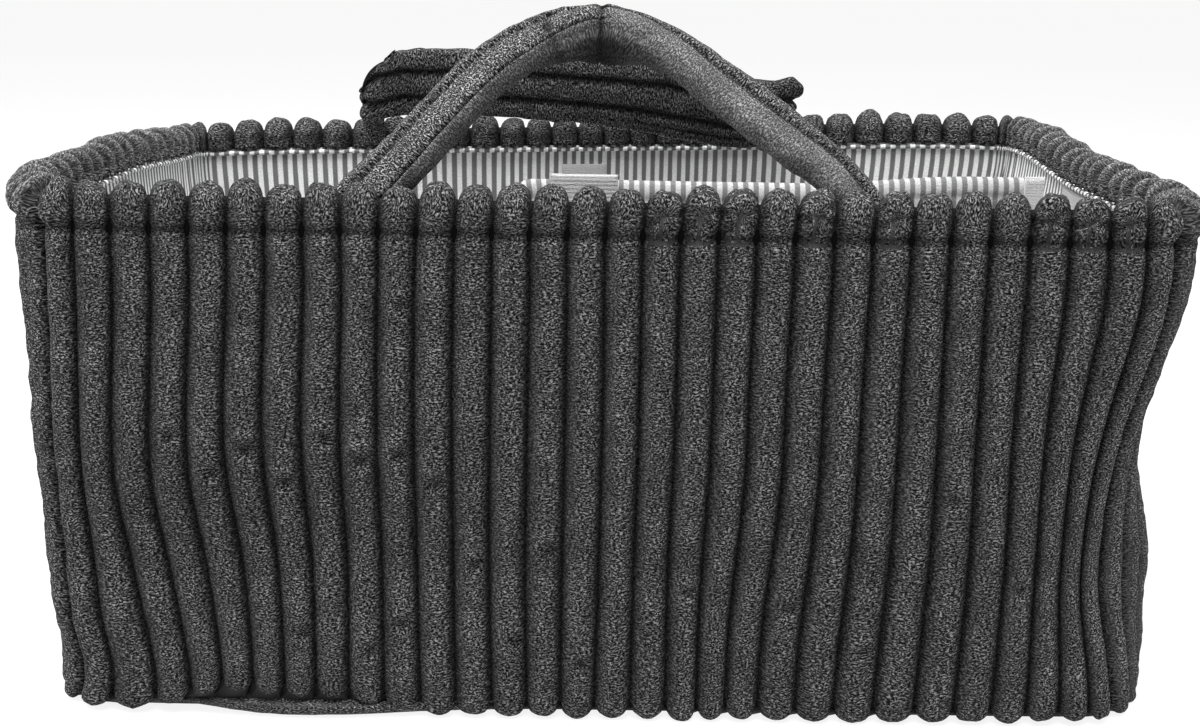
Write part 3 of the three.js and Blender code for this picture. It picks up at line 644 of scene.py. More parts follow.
def slump(points):
    """Moves points of the basket as its soft walls have settled."""
    x, y, z = points[..., 0], points[..., 1], points[..., 2]
    moved = points.copy()
    for (side_x, side_y), (amount_x, amount_y), reach, fade in CORNER_TUCKS:
        full = TUCK_FULL_SHARE * fade
        corner = np.array([side_x * HALF_WIDTH, side_y * HALF_DEPTH])
        away = (points[..., :2] - corner) / np.array(reach)
        tuck = hump(np.linalg.norm(away, axis=-1)) * (1 - smooth_step(z, full, fade))
        tuck = tuck * (1 - TUCK_FOOT_SHARE * (1 - smooth_step(z, 0, full)))
        moved[..., 0] -= side_x * amount_x * tuck
        moved[..., 1] -= side_y * amount_y * tuck
    for middle, reach, push in SLUMPS:
        distance = np.linalg.norm((points - np.array(middle)) / np.array(reach), axis=-1)
        moved += hump(distance)[..., None] * np.array(push)

    side = np.sign(x)
    full_bow = HALF_WIDTH - RIM_THICKNESS - BOW_FROM_MIDDLE
    ramp = np.clip((np.abs(x) - BOW_FROM_MIDDLE) / full_bow, 0, 1)
    set_in = smooth_step(y, BOW_START, BOW_FULL)
    high = smooth_step(z, BOW_WAIST, BOW_RIM)
    low = 1 - smooth_step(z, BOW_FOOT, BOW_WAIST)
    foot, waist, rim = (np.where(side > 0, right, left) for left, right in zip(*END_BOWS))
    moved[..., 0] += side * ramp * set_in * (waist + (foot - waist) * low + (rim - waist) * high)
    ends = smooth_step(np.abs(x), HALF_WIDTH - END_ROLL_START, HALF_WIDTH - END_ROLL_FULL)
    roll = ends * near(z, RIM_MIDDLE, END_ROLL_SPREAD)
    moved[..., 0] += side * END_ROLL_SWELL * roll * (1 - END_ROLL_BACK_SHARE * set_in)
    moved[..., 2] += BACK_TILT * x * smooth_step(y, BACK_TILT_START, BACK_TILT_FULL) * high
    return moved


# Where the front wales step sideways on the way down: a middle and a reach along the wall, the
# heights from which and down to which they shift, and how far
FRONT_DRIFTS = [
    (-0.135, 0.060, 0.168, 0.095, -0.0024),
    (-0.150, 0.052, 0.092, 0.014, 0.0082),
    (0.058, 0.024, 0.100, 0.020, -0.0040),
    (0.090, 0.030, 0.120, 0.020, -0.0025),
]

# Where the front wales stop short of the floor: a place along the wall, a reach and a rise
FRONT_FOOT_RISES = [
    (0.000, 0.040, 0.0008),
    (0.052, 0.020, 0.0078),
    (0.088, 0.026, 0.0070),
    (0.345, 0.030, 0.0010),
]

# Beads of the front rim, counted from the left, whose pile radiates from a pucker
ROSETTE_BEADS = (16, 17, 18, 20, 22, 26, 27, 28)
ROSETTE_REACH = 0.0042
ROSETTE_DEPTH = 0.0015
ROSETTE_FOLDS = 5
ROSETTE_FOLD_HEIGHT, ROSETTE_FOLD_SHARES = 0.0011, (1, 0.7)
ROSETTE_SPREAD, ROSETTE_LEAST_SHARE = 0.0075, 0.2
# Painted shade darkens each rosette's pit and the valleys between its folds
ROSETTE_PIT, ROSETTE_PIT_SHADE_REACH = 0.0022, 0.0016
ROSETTE_PIT_SHADE_SHARE, ROSETTE_FOLD_SHADE_SHARE = 0.6, 0.45

# Painted shade darkens the pile round each pucker, over a share of its reach
DIMPLE_GAIN, DIMPLE_SHADE_REACH_SHARE = 1.2, 0.8
DIMPLE_RING_SHARES = (0.6, 1.6, 0.6)
# Each wall's small puckers in the pile: the place from its middle, the height, the depth and the reach
DIMPLES = {
    "front": [
        (-0.142, 0.104, 0.0014, 0.0026), (-0.129, 0.091, 0.0015, 0.0024),
        (-0.117, 0.100, 0.0018, 0.0030), (-0.105, 0.088, 0.0018, 0.0028),
        (-0.092, 0.104, 0.0017, 0.0028), (-0.080, 0.096, 0.0018, 0.0032),
        (-0.067, 0.098, 0.0016, 0.0028), (-0.055, 0.088, 0.0013, 0.0026),
        (-0.066, 0.150, 0.0012, 0.0028), (-0.103, 0.032, 0.0013, 0.0026),
        (-0.079, 0.026, 0.0015, 0.0028), (-0.067, 0.036, 0.0012, 0.0026),
        (-0.042, 0.058, 0.0014, 0.0026), (-0.029, 0.030, 0.0013, 0.0026),
        (-0.017, 0.064, 0.0016, 0.0028), (-0.005, 0.022, 0.0012, 0.0026),
        (0.032, 0.050, 0.0012, 0.0026), (0.069, 0.044, 0.0013, 0.0028),
        (0.094, 0.028, 0.0012, 0.0026), (0.118, 0.085, 0.0012, 0.0026),
        (0.143, 0.052, 0.0013, 0.0026),
    ],
    "right": [
        (0.030, 0.080, 0.0014, 0.0028), (-0.045, 0.050, 0.0014, 0.0028),
    ],
    "left": [
        (0.020, 0.060, 0.0014, 0.0028), (-0.060, 0.090, 0.0014, 0.0028),
    ],
    "back": [
        (-0.070, 0.070, 0.0014, 0.0028), (0.090, 0.095, 0.0014, 0.0028),
        (0.020, 0.040, 0.0014, 0.0028),
    ],
}


def drift(wall, along, height):
    """How far a wale strays along its wall."""
    from_middle = along - wall.length / 2
    spot = grid_of(from_middle, height, wall.turn)
    free = np.clip((wall.length / 2 - np.abs(from_middle)) / (2 * WALE_PITCH), 0, 1)
    settled = 1 - smooth_step(height, *DRIFT_FADE_HEIGHTS)
    shift = lumps(spot, SMALL_DRIFTS)
    if wall.side == "front":
        for middle, reach, upper, lower, amount in FRONT_DRIFTS:
            below = 1 - smooth_step(height, lower, upper)
            shift = shift + amount * near(from_middle, middle, reach) * below
    else:
        shift = shift + lumps(spot, WIDE_DRIFTS)
    return shift * free * settled


def wale_columns(length, count):
    """Places across the wales, each one's wale, and how far it is from the wale's middle, 0 to 1."""
    half = list(WALE_HALF_SHARES)
    shares = np.array(half + [0.5] + [1 - share for share in half[:0:-1]])
    wale = np.repeat(np.arange(count), len(shares))
    within = np.tile(shares, count)
    along = np.append((wale + within) * length / count, length)
    return along, np.append(wale, count - 1), np.append(np.abs(2 * within - 1), 1)


def wale_bump(aside, width_share=WALE_WIDTH_SHARE):
    """How high a wale stands, 0 in its groove to 1 on its crown."""
    return np.sqrt(np.maximum(1 - np.minimum(aside / width_share, 1) ** WALE_SIDE_POWER, 0))


def crown_line():
    """The plush's crown from under the foot, up the wall, over the rim and down the facing.

    Each row has a place in from the wall's face, a height, the way into the cloth, in and up, and
    how full the wales are.
    """
    foot = []
    for a in np.linspace(0, math.pi / 2, FOOT_ROUND_STEPS)[:-1]:
        inset, height = FOOT_ROUND * (1 - math.sin(a)), FOOT_HEIGHT + FOOT_ROUND * (1 - math.cos(a))
        foot.append((inset, height, math.sin(a), math.cos(a), from_least(FOOT_SHARE, math.sin(a))))
    upright = [(0, z, 1, 0, 1) for z in np.arange(FOOT_HEIGHT + FOOT_ROUND, RIM_MIDDLE, ROW_STEP)]
    rim = []
    for a in np.linspace(math.pi, 0, int(math.pi * RIM_RADIUS / ROW_STEP) + 1):
        out, up = math.cos(a), math.sin(a)
        rim.append((RIM_RADIUS * (1 + out), RIM_TOP - RIM_RADIUS * (1 - up), -out, -up, 1))
    down = np.arange(RIM_MIDDLE - ROW_STEP, FACING_BOTTOM, -ROW_STEP)
    facing = [(RIM_THICKNESS, z, -1, 0, FACING_SHARE) for z in down]
    hem = [(RIM_THICKNESS, FACING_BOTTOM, -1, 0, HEM_SHARE)]
    return np.array(foot + upright + rim + facing + hem)


def plush_wall(wall):
    """The ribbed plush of one wall, closed by its smooth back."""
    count = round(wall.length / WALE_PITCH)
    along, wale, aside = wale_columns(wall.length, count)
    line = crown_line()
    inset, height, in_way, up_way, fullness = (column[:, None] for column in line.T)
    outside = in_way > 0.5
    rng = np.random.default_rng(PLUSH_SEED + round(PLUSH_SEED * wall.turn))
    crown_scale = rng.uniform(*CROWN_SHARES, count)[wale]
    bead_rise = rng.uniform(*BEAD_RISES, count)[wale]
    foot_rise = rng.uniform(*FOOT_RISES, count)[wale] - FOOT_DROP
    if wall.side == "front":
        for place, reach, rise in FRONT_FOOT_RISES:
            foot_rise = foot_rise + rise * near(along, place, reach)

    pinch = near(height, PINCH_LEVEL, PINCH_SPREAD) * outside
    pinch_line = near(height, PINCH_LEVEL, PINCH_LINE) * outside
    leaf = smooth_step(height, FACING_BOTTOM, RIM_MIDDLE) * (wall.side in ("left", "right"))
    bump = wale_bump(aside, WALE_WIDTH_SHARE - PINCH_WIDTH_SHARE * pinch - LEAF_WIDTH_SHARE * leaf)
    sunk = (WALE_HEIGHT + LEAF_HEIGHT * leaf) * (1 - crown_scale * bump * fullness)
    inset = inset + sunk * in_way + PINCH_DEPTH * pinch
    height = height + sunk * up_way
    rim_share = smooth_step(height, FACING_BOTTOM, RIM_TOP)
    foot_share = 1 - smooth_step(height, FOOT_HEIGHT, FOOT_FADE_HEIGHT)
    height = height + bead_rise * rim_share * bump + foot_rise * foot_share
    points = wall.place(along + drift(wall, along, height), inset, height)

    rough = lumps(points, PLUSH_LUMPS) * from_least(GROOVE_LUMP_SHARE, bump)
    rough = rough * (1 + rim_share) * (1 - LEAF_SMOOTH_SHARE * leaf)
    face = wall.place(along, inset, height)
    outwards = unit(wall.place(along, inset - in_way, height - up_way) - face)
    run = np.cumsum(np.hypot(*np.diff(line[:, :2], axis=0).T))
    run = np.append(0, run)[:, None]
    middle = (wale + 0.5) * wall.length / count
    u, v = lie_of_pile(along, middle, run, rim_share * outside, rng)
    depth, pucker_shade = puckers(wall, along, height)
    if wall.side == "front":
        chosen, rosette_depth, rosette_shade, lie = rosettes(line, run, along - middle, wale, outside)
        depth, pucker_shade = depth + rosette_depth, pucker_shade + rosette_shade
        u, v = (np.where(chosen, new, old) for new, old in zip(lie, (u, v)))
    points = slump(points + outwards * (rough - depth)[..., None])
    points[..., 2] = np.maximum(points[..., 2], FLOOR_GAP)
    back = back_of_plush(wall, along)
    behind = np.zeros((len(back) + 1, len(along), 2))

    # Painted shade in the grooves, the hollows, the pinch and the puckers, and a painted highlight on
    # the leaves' tips
    side_power = SIDE_SHADE_POWER - (SIDE_SHADE_POWER - LEAF_SHADE_POWER) * leaf
    shade = (1 - aside**side_power) * (1 + LEAF_HIGHLIGHT_SHARE * leaf)
    shade = shade * from_least(HOLLOW_SHADE_SHARE, fullness)
    shade = shade * (1 - PINCH_SHADE_SHARE * pinch) * (1 - PINCH_LINE_SHADE_SHARE * pinch_line)
    shade = shade * (1 - PARTED_SHADE_SHARE * np.minimum(pucker_shade, 1))
    patches = from_least(FLANK_LEAST_SHARE, noise(points, FLANK_SIZE, FLANK_SEED))
    flank = near((along - middle) / WALE_PITCH, *FLANK_SHARES) * patches
    sleek = flank * (1 - rim_share) * (1 - leaf) + LEAF_SLEEK_SHARE * leaf
    piece = skin(f"plush_{wall.side}", np.concatenate([points, back]),
                 np.concatenate([grid_of(u + wall.turn, v), behind]), PLUSH, wrap_rows=True,
                 crown=np.concatenate([shade, behind[1:, :, 0]]),
                 sleek=np.concatenate([sleek, behind[1:, :, 0]]))
    belongs(piece, BASKET, "plush", f"outer_{wall.side}_panel")


def puckers(wall, along, height):
    """How deep the small puckers of a wall are, and how much painted shade darkens them where their
    pile parts.
    """
    depth, pucker_shade = np.zeros_like(height), np.zeros_like(height)
    for middle, level, deepest, reach in DIMPLES[wall.side]:
        away = np.hypot(along - wall.length / 2 - middle, height - level) / reach
        depth = depth + deepest * (DIMPLE_GAIN * hump(away) - mark(away, *DIMPLE_RING_SHARES))
        pucker_shade = pucker_shade + hump(away / DIMPLE_SHADE_REACH_SHARE)
    return depth, pucker_shade


def rosettes(line, run, beside, wale, outside):
    """The puckered beads of the front rim: where, how deep, how much painted shade darkens their pit
    and fold valleys, and the pile's lie.
    """
    upright = np.argmin(line[:, 1] < RIM_MIDDLE)
    pinch_run = np.interp(PINCH_LEVEL, line[:upright, 1], run[:upright, 0])
    level = run - pinch_run - (RIM_MIDDLE - PINCH_LEVEL)
    radius, angle = np.hypot(beside, level), np.arctan2(beside, level)
    inside = hump(radius / ROSETTE_SPREAD) > ROSETTE_LEAST_SHARE
    chosen = np.isin(wale, ROSETTE_BEADS) * inside * outside
    folds = np.sin(ROSETTE_FOLDS * angle + wale) * near(radius / ROSETTE_REACH, *ROSETTE_FOLD_SHARES)
    depth = chosen * (ROSETTE_DEPTH * hump(radius / ROSETTE_PIT) - ROSETTE_FOLD_HEIGHT * folds)
    pit_shade = ROSETTE_PIT_SHADE_SHARE * hump(radius / ROSETTE_PIT_SHADE_REACH)
    pucker_shade = chosen * (pit_shade + ROSETTE_FOLD_SHADE_SHARE * np.maximum(-folds, 0))
    return chosen, depth, pucker_shade, (radius, angle * ROSETTE_REACH + wale)


def back_of_plush(wall, along):
    """The smooth inner side of a wall's plush, from the hem over the rim to the foot."""
    line = [
        (RIM_THICKNESS - PLUSH_BACKING, FACING_BOTTOM),
        (RIM_THICKNESS - PLUSH_BACKING, RIM_MIDDLE),
        (RIM_RADIUS, RIM_TOP - PLUSH_BACKING),
        (PLUSH_BACKING, RIM_MIDDLE),
        *[(PLUSH_BACKING, z) for z in np.linspace(FACING_BOTTOM, FOOT_HEIGHT, BACKING_ROWS)],
    ]
    return slump(np.stack([wall.place(along, i, np.full_like(along, z)) for i, z in line]))


def lie_of_pile(along, middle, run, on_bead, rng):
    """Where each point takes its pile from: level tufts on the wall, upright ones on the beads."""
    turn = smooth_step(on_bead, *BEAD_TURN_SHARES)
    u = middle + (along - middle) * (1 + BEAD_SPREAD_SHARE * turn)
    stretch = np.gradient(run, axis=0) * (1 - BEAD_SHORTEN_SHARE * turn)
    v = np.cumsum(stretch * np.ones_like(u), axis=0) + rng.uniform(0, 1, 1)
    return u, v


def board(wall):
    """A flat stiffener behind the plush."""
    low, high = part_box(f"{wall.side}_stiffener")
    along = np.linspace(wall.arc, wall.length - wall.arc, BOARD_COLUMNS)
    height = np.linspace(low.z, high.z, BOARD_ROWS)[:, None]
    face = slump(wall.place(along, BOARD_INSET, height))
    back = slump(wall.place(along, BOARD_INSET + BOARD_THICKNESS, height))
    piece = shell(f"board_{wall.side}", face, back, grid_of(along, height), BOARD)
    belongs(piece, BASKET, "board", f"{wall.side}_stiffener")


def wall_lining(wall):
    """Striped cloth inside one wall, a little slack and puckered at the corners."""
    along = wall.columns(LINING_STEP)
    height = np.linspace(lining_low.z, lining_high.z, LINING_ROWS)[:, None]
    share = (height - lining_low.z) / LINING_HEIGHT
    held = np.sqrt(np.sin(math.pi * share))
    spot = wall.place(along, LINING_FACE, height)
    corner = hump(np.minimum(along, wall.length - along) / PUCKER_REACH)
    slack = LINING_SLACK * (1 + noise(spot, LINING_SLACK_SIZE, LINING_SEED)) * held
    folds = PUCKER_HEIGHT * corner * np.sin(along / PUCKER_WAVE + PUCKER_TURNS * share)
    folds = np.maximum(folds * from_least(PUCKER_FOOT_SHARE, share), PUCKER_LOWEST)
    inset = LINING_FACE + slack + folds
    face = slump(wall.place(along, inset, height))
    back = slump(wall.place(along, inset - LINING_THICKNESS, height))
    shifted = along + PUCKER_SHIFT * corner * np.sin(PUCKER_SHIFT_TURNS * share)
    piece = shell(f"lining_{wall.side}_cloth", back, face, grid_of(shifted, height), TICKING)
    belongs(piece, BASKET, "lining", f"lining_{wall.side}")


def outline_half_width(y, inset):
    """Half the basket's width at a depth y, for an outline drawn in by an inset."""
    radius = CORNER_RADIUS - inset
    beyond = np.clip(np.abs(y) - (HALF_DEPTH - CORNER_RADIUS), 0, radius)
    return HALF_WIDTH - CORNER_RADIUS + np.sqrt(radius * radius - beyond * beyond)


def level_points(share, y, z, inset):
    """Points of a level sheet, each a share of the half width out from the middle."""
    return slump(grid_of(share * outline_half_width(y, inset), y, z))


def floor_lining():
    """Striped cloth on the floor of the basket."""
    y = np.linspace(-floor_high.y, floor_high.y, FLOOR_ROWS)[:, None]
    share = np.linspace(-1, 1, FLOOR_COLUMNS)
    inset = HALF_DEPTH - floor_high.y
    spot = grid_of(share * HALF_WIDTH, y, 0.0)
    top = floor_high.z + lumps(spot, FLOOR_LUMPS)
    face = level_points(share, y, top, inset)
    back = level_points(share, y, top - LINING_THICKNESS, inset)
    piece = shell("lining_floor_cloth", face, back, spot[..., :2], TICKING)
    belongs(piece, BASKET, "lining", "lining_floor")


def base_plush():
    """The underside's plush, its wales along the basket."""
    half = base_high.y
    count = 2 * round((2 * half / WALE_PITCH - 1) / 2) + 1
    y, _, aside = wale_columns(2 * half, count)
    y = (y - half)[:, None]
    bump = wale_bump(aside)[:, None]
    share = np.linspace(-1, 1, BASE_COLUMNS)
    inset = HALF_DEPTH - half
    spot = grid_of(share * HALF_WIDTH, y, 0.0)
    x = spot[..., 0]
    low = WALE_HEIGHT * (1 - bump) - BASE_SINK + lumps(spot, BASE_LUMPS) * bump
    from_edge = np.clip(half - np.abs(y), 0, BASE_EDGE_ROUND)
    low = np.maximum(np.maximum(low, base_low.z), rounding(from_edge, BASE_EDGE_ROUND))
    run = np.cumsum(np.hypot(np.gradient(y, axis=0), np.gradient(low, axis=0)), axis=0)
    front = smooth_step(-y, BASE_FRONT_SHARE * half, half)
    spill = BASE_SPILL * near(x, BASE_SPILL_MIDDLE, BASE_SPILL_REACH) * front
    lift = smooth_step(np.abs(x), -BASE_SPILL_MIDDLE, BASE_LIFT_SHARE * HALF_WIDTH) * front
    face = level_points(share, y, np.minimum(low + BASE_LIFT * lift, base_high.z), inset)
    back = level_points(share, y, np.full_like(low, base_high.z), inset)
    face[..., 1] -= spill
    back[..., 1] -= spill
    # Painted shade in the grooves and a painted highlight along the rounded edge
    edge_highlight = BASE_EDGE_HIGHLIGHT * hump(from_edge / BASE_EDGE_ROUND)
    shade_and_highlight = np.maximum(from_least(BASE_GROOVE_SHADE_SHARE, bump), edge_highlight)
    crown = np.concatenate([shade_and_highlight * np.ones_like(low), BASE_EDGE_HIGHLIGHT * np.ones_like(low)])
    piece = shell("plush_base", back, face, grid_of(x, run), PLUSH, crown=crown[::-1])
    belongs(piece, BASKET, "plush", "outer_base_panel")


def base_board():
    """The stiffener under the floor lining."""
    low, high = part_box("base_stiffener")
    y = np.linspace(low.y, high.y, BASE_BOARD_STEPS)[:, None]
    share = np.linspace(-1, 1, BASE_BOARD_STEPS)
    face, back = (level_points(share, y, z, HALF_DEPTH - high.y) for z in (high.z, low.z))
    piece = shell("base_board", face, back, face[..., :2], BOARD)
    belongs(piece, BASKET, "board", "base_stiffener")


def piping():
    """A striped cord sewn all round under the hem of the facing."""
    low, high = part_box("rim_piping")
    radius = (high.z - low.z) / 2
    inset = LINING_FACE + CLEARANCE + radius
    turn = np.linspace(0, 2 * math.pi, PIPING_SIDES + 1)[:-1]
    height = low.z + radius - radius * np.sin(turn)
    rings, lengths, start = [], [], 0.0
    for wall in WALLS.values():
        along = wall.columns(SEWN_STEP / 2)[1:, None]
        rings.append(wall.place(along, inset + radius * np.cos(turn), height))
        lengths.append(start + along[:, 0])
        start += wall.length
    points = np.concatenate(rings)
    middle = points.mean(axis=1, keepdims=True)
    swell = PIPING_SHARE + PIPING_LUMP_SHARE * noise(middle, PIPING_LUMP_SIZE, PIPING_SEED)
    points = slump(middle + (points - middle) * swell[..., None])
    u = np.concatenate([*lengths, [start + SEWN_STEP / 2]])
    v = np.linspace(0, 2 * math.pi * radius, PIPING_SIDES + 1)
    piece = skin("piping", points, grid_of(u[:, None], v), TICKING, wrap_rows=True, wrap_columns=True)
    belongs(piece, BASKET, "lining", "rim_piping")


def tape(name, node, body, material, across_axis, rise=0.0):
    """A tape in the box of its node, facing -X or -Y: its face wavers and its edges are thin."""
    low, high = (np.array(corner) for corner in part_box(node))
    high[2] += rise
    depth_axis = 1 - across_axis
    across = np.linspace(low[across_axis], high[across_axis], TAPE_COLUMNS)
    height = np.linspace(low[2], high[2], TAPE_ROWS)[:, None]
    edge = np.minimum(across - low[across_axis], high[across_axis] - across)
    edge = np.minimum(edge, np.minimum(height - low[2], high[2] - height))
    grid = np.zeros((TAPE_ROWS, TAPE_COLUMNS, 3))
    grid[..., across_axis] = across
    grid[..., 2] = height
    ripple = TAPE_WAVE * noise(grid, TAPE_WAVE_SIZE, TAPE_SEED)
    frayed = TAPE_WAVE * noise(grid + TAPE_END_SHIFT, TAPE_END_SIZE, TAPE_END_SEED)
    grid[..., 2] += frayed * (height == height.max())
    thick = (high - low)[depth_axis] * from_least(TAPE_EDGE_SHARE, smooth_step(edge, 0, TAPE_EDGE))
    face, back = grid.copy(), grid.copy()
    back[..., depth_axis] = high[depth_axis]
    face[..., depth_axis] = high[depth_axis] - thick - np.maximum(ripple, 0)
    if body == BASKET:
        face, back = slump(face), slump(back)
    if across_axis == 1:
        face, back = back, face
    piece = shell(name, face, back, grid_of(across, height), material)
    belongs(piece, body, "tape", node)


# Divider

def divider():
    """A padded striped panel, thin and creased at its edges."""
    low, high = (np.array(corner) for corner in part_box("divider_cover"))
    x = low[0] + np.linspace(0, 1, DIVIDER_COLUMNS) * (high[0] - low[0])
    from_left, from_right = x - low[0], high[0] - x
    rise = DIVIDER_END_RISE * smooth_step(x, DIVIDER_RISE_START, DIVIDER_RISE_FULL)
    corners = rounding(from_left, DIVIDER_FREE_ROUND) + rounding(from_right, DIVIDER_HELD_ROUND)
    top = high[2] - DIVIDER_SAG + rise - corners
    up = 1 - (1 - np.linspace(0, 1, DIVIDER_ROWS)[:, None]) ** DIVIDER_ROW_POWER
    z = low[2] + up * (top - low[2])
    from_foot = DIVIDER_FOOT_SLOPE * (z - low[2]) + DIVIDER_FOOT_EDGE
    edge = np.minimum(np.minimum(from_left, from_right), np.minimum(top - z, from_foot))
    half = (high[1] - low[1]) / 2
    grid = grid_of(x, 0.0, z)
    full = np.sqrt(1 - (1 - np.clip(edge / DIVIDER_EDGE_REACH, 0, 1)) ** 2)
    seam = mark(edge, DIVIDER_SEAM_DEPTH, DIVIDER_SEAM_INSET, DIVIDER_SEAM_REACH)
    crumple = hump(from_left / CRUMPLE_REACH) * lumps(grid, DIVIDER_CRUMPLES)
    thick = DIVIDER_EDGE_HALF + (half - DIVIDER_SPARE) * full - seam + lumps(grid, DIVIDER_LUMPS)
    face, back = grid.copy(), grid.copy()
    face[..., 1] = -np.clip(thick + crumple, DIVIDER_LEAST_HALF, half)
    back[..., 1] = np.clip(thick - crumple, DIVIDER_LEAST_HALF, half)
    shift = CRUMPLE_SHIFT * hump(from_left / CRUMPLE_SHIFT_REACH) * np.sin(z / CRUMPLE_WAVE)
    # The divider's ticking is painted darker than the lining's, as painted shade
    piece = shell("divider_panel", back, face, grid_of(x + shift, z), SHADED_PANEL_TICKING)
    belongs(piece, DIVIDER, "lining", "divider_cover", "divider_core")


def held_flap():
    """The hook tape that bridges the divider's end and the bowed wall."""
    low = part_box("divider_right_hook_tape")[0]
    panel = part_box("divider_cover")[1]
    top = panel.z - DIVIDER_SAG + DIVIDER_END_RISE + FLAP_RISE
    height = np.linspace(low.z, top, FLAP_ROWS)[:, None]
    wall = slump(grid_of(HALF_WIDTH - LINING_FACE, 0.0, height))[..., 0]
    start = panel.x - FLAP_OVERLAP
    x = start + np.linspace(0, 1, FLAP_COLUMNS) * (wall - FLAP_GAP - start)
    back = grid_of(x, -FLAP_FORWARD, height)
    back[..., 1] += lumps(back, FLAP_LUMPS)
    face = back - np.array([0, FLAP_THICKNESS, 0])
    piece = shell("divider_right_tape", face, back, back[..., [0, 2]], LOOP_TAPE)
    belongs(piece, DIVIDER, "tape", "divider_right_hook_tape")


# Handles

def strap_ring():
    """Places round a strap's rounded section: across it and through it."""
    turn = np.arange(STRAP_RING_POINTS) / STRAP_RING_POINTS * 2 * math.pi
    power = 2 / STRAP_SQUARENESS
    x = -np.sign(np.cos(turn)) * np.abs(np.cos(turn)) ** power
    y = -np.sign(np.sin(turn)) * np.abs(np.sin(turn)) ** power
    return x, y


def strap(side, controls, steps, relief):
    """A padded plush strap over rows of controls: place, direction across, width and thickness."""
    rows = through(controls, steps)
    at, across, width, thick = rows[:, :3], unit(rows[:, 3:6]), rows[:, 6:7], rows[:, 7:8]
    forward = unit(np.gradient(at, axis=0))
    square = unit(forward - across * (forward * across).sum(-1, keepdims=True))
    deep = np.cross(square, across)
    slant = np.maximum((forward * square).sum(-1, keepdims=True), STRAP_LEAST_SLANT_SHARE)
    x, y = strap_ring()
    along = np.append(0, np.cumsum(np.linalg.norm(np.diff(at, axis=0), axis=-1)))[:, None]
    sunk, shade, ridge, sleek, push = relief(x, y, along / along[-1])
    side_share, side_start = STRAP_SIDE_SHARES
    flat_x = x * (width / 2 / slant) * (1 - side_share * sunk * (np.abs(x) > side_start))
    flat_y = y * (thick / 2) * (1 - sunk) + np.sign(y) * ridge * SEAM_RIDGE
    points = at[:, None] + across[:, None] * flat_x[..., None] + deep[:, None] * flat_y[..., None]
    points = points + forward[:, None] * push[..., None]
    outwards = unit(points - at[:, None] + 1e-9)
    points = points + outwards * lumps(points, STRAP_LUMPS)[..., None]
    steps_x = np.diff(np.append(x, x[0])) * width.mean() / 2
    steps_y = np.diff(np.append(y, y[0])) * thick.mean() / 2
    girth = np.append(0, np.cumsum(np.hypot(steps_x, steps_y)))
    # Painted shade in the sunk grooves and a painted highlight on the seam ridges
    crown = np.clip(1 - STRAP_GROOVE_SHADE_GAIN * sunk, STRAP_LEAST_SHARE, 1) * shade
    crown = crown + STRAP_RIDGE_HIGHLIGHT_SHARE * ridge
    piece = skin(f"{side}_strap", points[::-1], grid_of(girth, along)[::-1], PLUSH,
                 wrap_columns=True, crown=crown[::-1], sleek=sleek[::-1])
    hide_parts(f"{side}_handle_cover", f"{side}_handle_padding",
                f"{side}_handle_left_tab", f"{side}_handle_right_tab")
    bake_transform(piece)


def joint_place(name):
    """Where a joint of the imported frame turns."""
    return next(np.array(joint["pos_m"]) for joint in frame["joints"] if joint["name"] == name)


# The front strap's middle from its left seam to its right one: across, height above the rim, and
# how far its inner edge is turned to the front, in degrees
FRONT_STATIONS = [
    (-0.0885, -0.0165, 38),
    (-0.0765, -0.0030, 42),
    (-0.0630, 0.0110, 45),
    (-0.0505, 0.0245, 46),
    (-0.0390, 0.0355, 46),
    (-0.0285, 0.0428, 47),
    (-0.0165, 0.0482, 54),
    (-0.0040, 0.0512, 60),
    (0.0085, 0.0495, 60),
    (0.0235, 0.0428, 56),
    (0.0430, 0.0290, 47),
    (0.0620, 0.0155, 49),
    (0.0800, 0.0015, 54),
    (0.0935, -0.0165, 52),
]
# Marks in the front strap have a depth, a middle and a reach, as shares of its half width when
# they run along it and as shares of its length when they cross it
GROOVE_SHARES, GROOVE_SHIFT_SHARE = (0.62, -0.22, 0.10), 0.14
SECOND_GROOVE_SHARES = (0.45, 0.22, 0.06)
SEAM_GROOVE_SHARES = (0.26, 0.90, 0.040)
UNDER_GROOVE_SHARES = (0.25, 0.33, 0.10)
CREASE_SHARES, CREASE_SIDE_SHARE = (0.18, 0.488, 0.0045), -0.8
WALE_END_SHARES, WALE_END_SIDE_SHARES = (0.45, 0.408, 0.008), (0.45, 0.40)
SAG_SHARES = (1.3, 0.495, 0.085)
MOST_SUNK_SHARE = 0.75
LEFT_HALF_SHARES = (0.47, 0.52)
# A painted highlight on the left seam's ridge; painted shade in the crease, at the wale's end and
# under the apex; the outer face painted lighter than the under face; painted sheen on the smooth edges
RIDGE_SHARES, RIDGE_END_SHARES = (0.97, 0.015), (0.22, 0.34)
CREASE_SHADE_SHARES, WALE_END_SHADE_SHARES = (0.7, 0.488, 0.0045), (0.5, 0.408, 0.006)
APEX_SHADE_SHARES, APEX_SIDE_SHARES, DARKEST_SHARE = (0.9, 0.500, 0.075), (-0.10, 0.35), 0.05
LEFT_EDGE_SHARES, RIGHT_EDGE_SHARES = (0.90, 0.97), (0.28, 0.45)
OUTER_SHADE_SHARE, UNDER_SHADE_SHARE = 1.18, 0.85
LEFT_EDGE_SHEEN_SHARE, RIGHT_EDGE_SHEEN_SHARE = 0.05, 0.50
EDGE_SLEEK_SHARE = 0.75


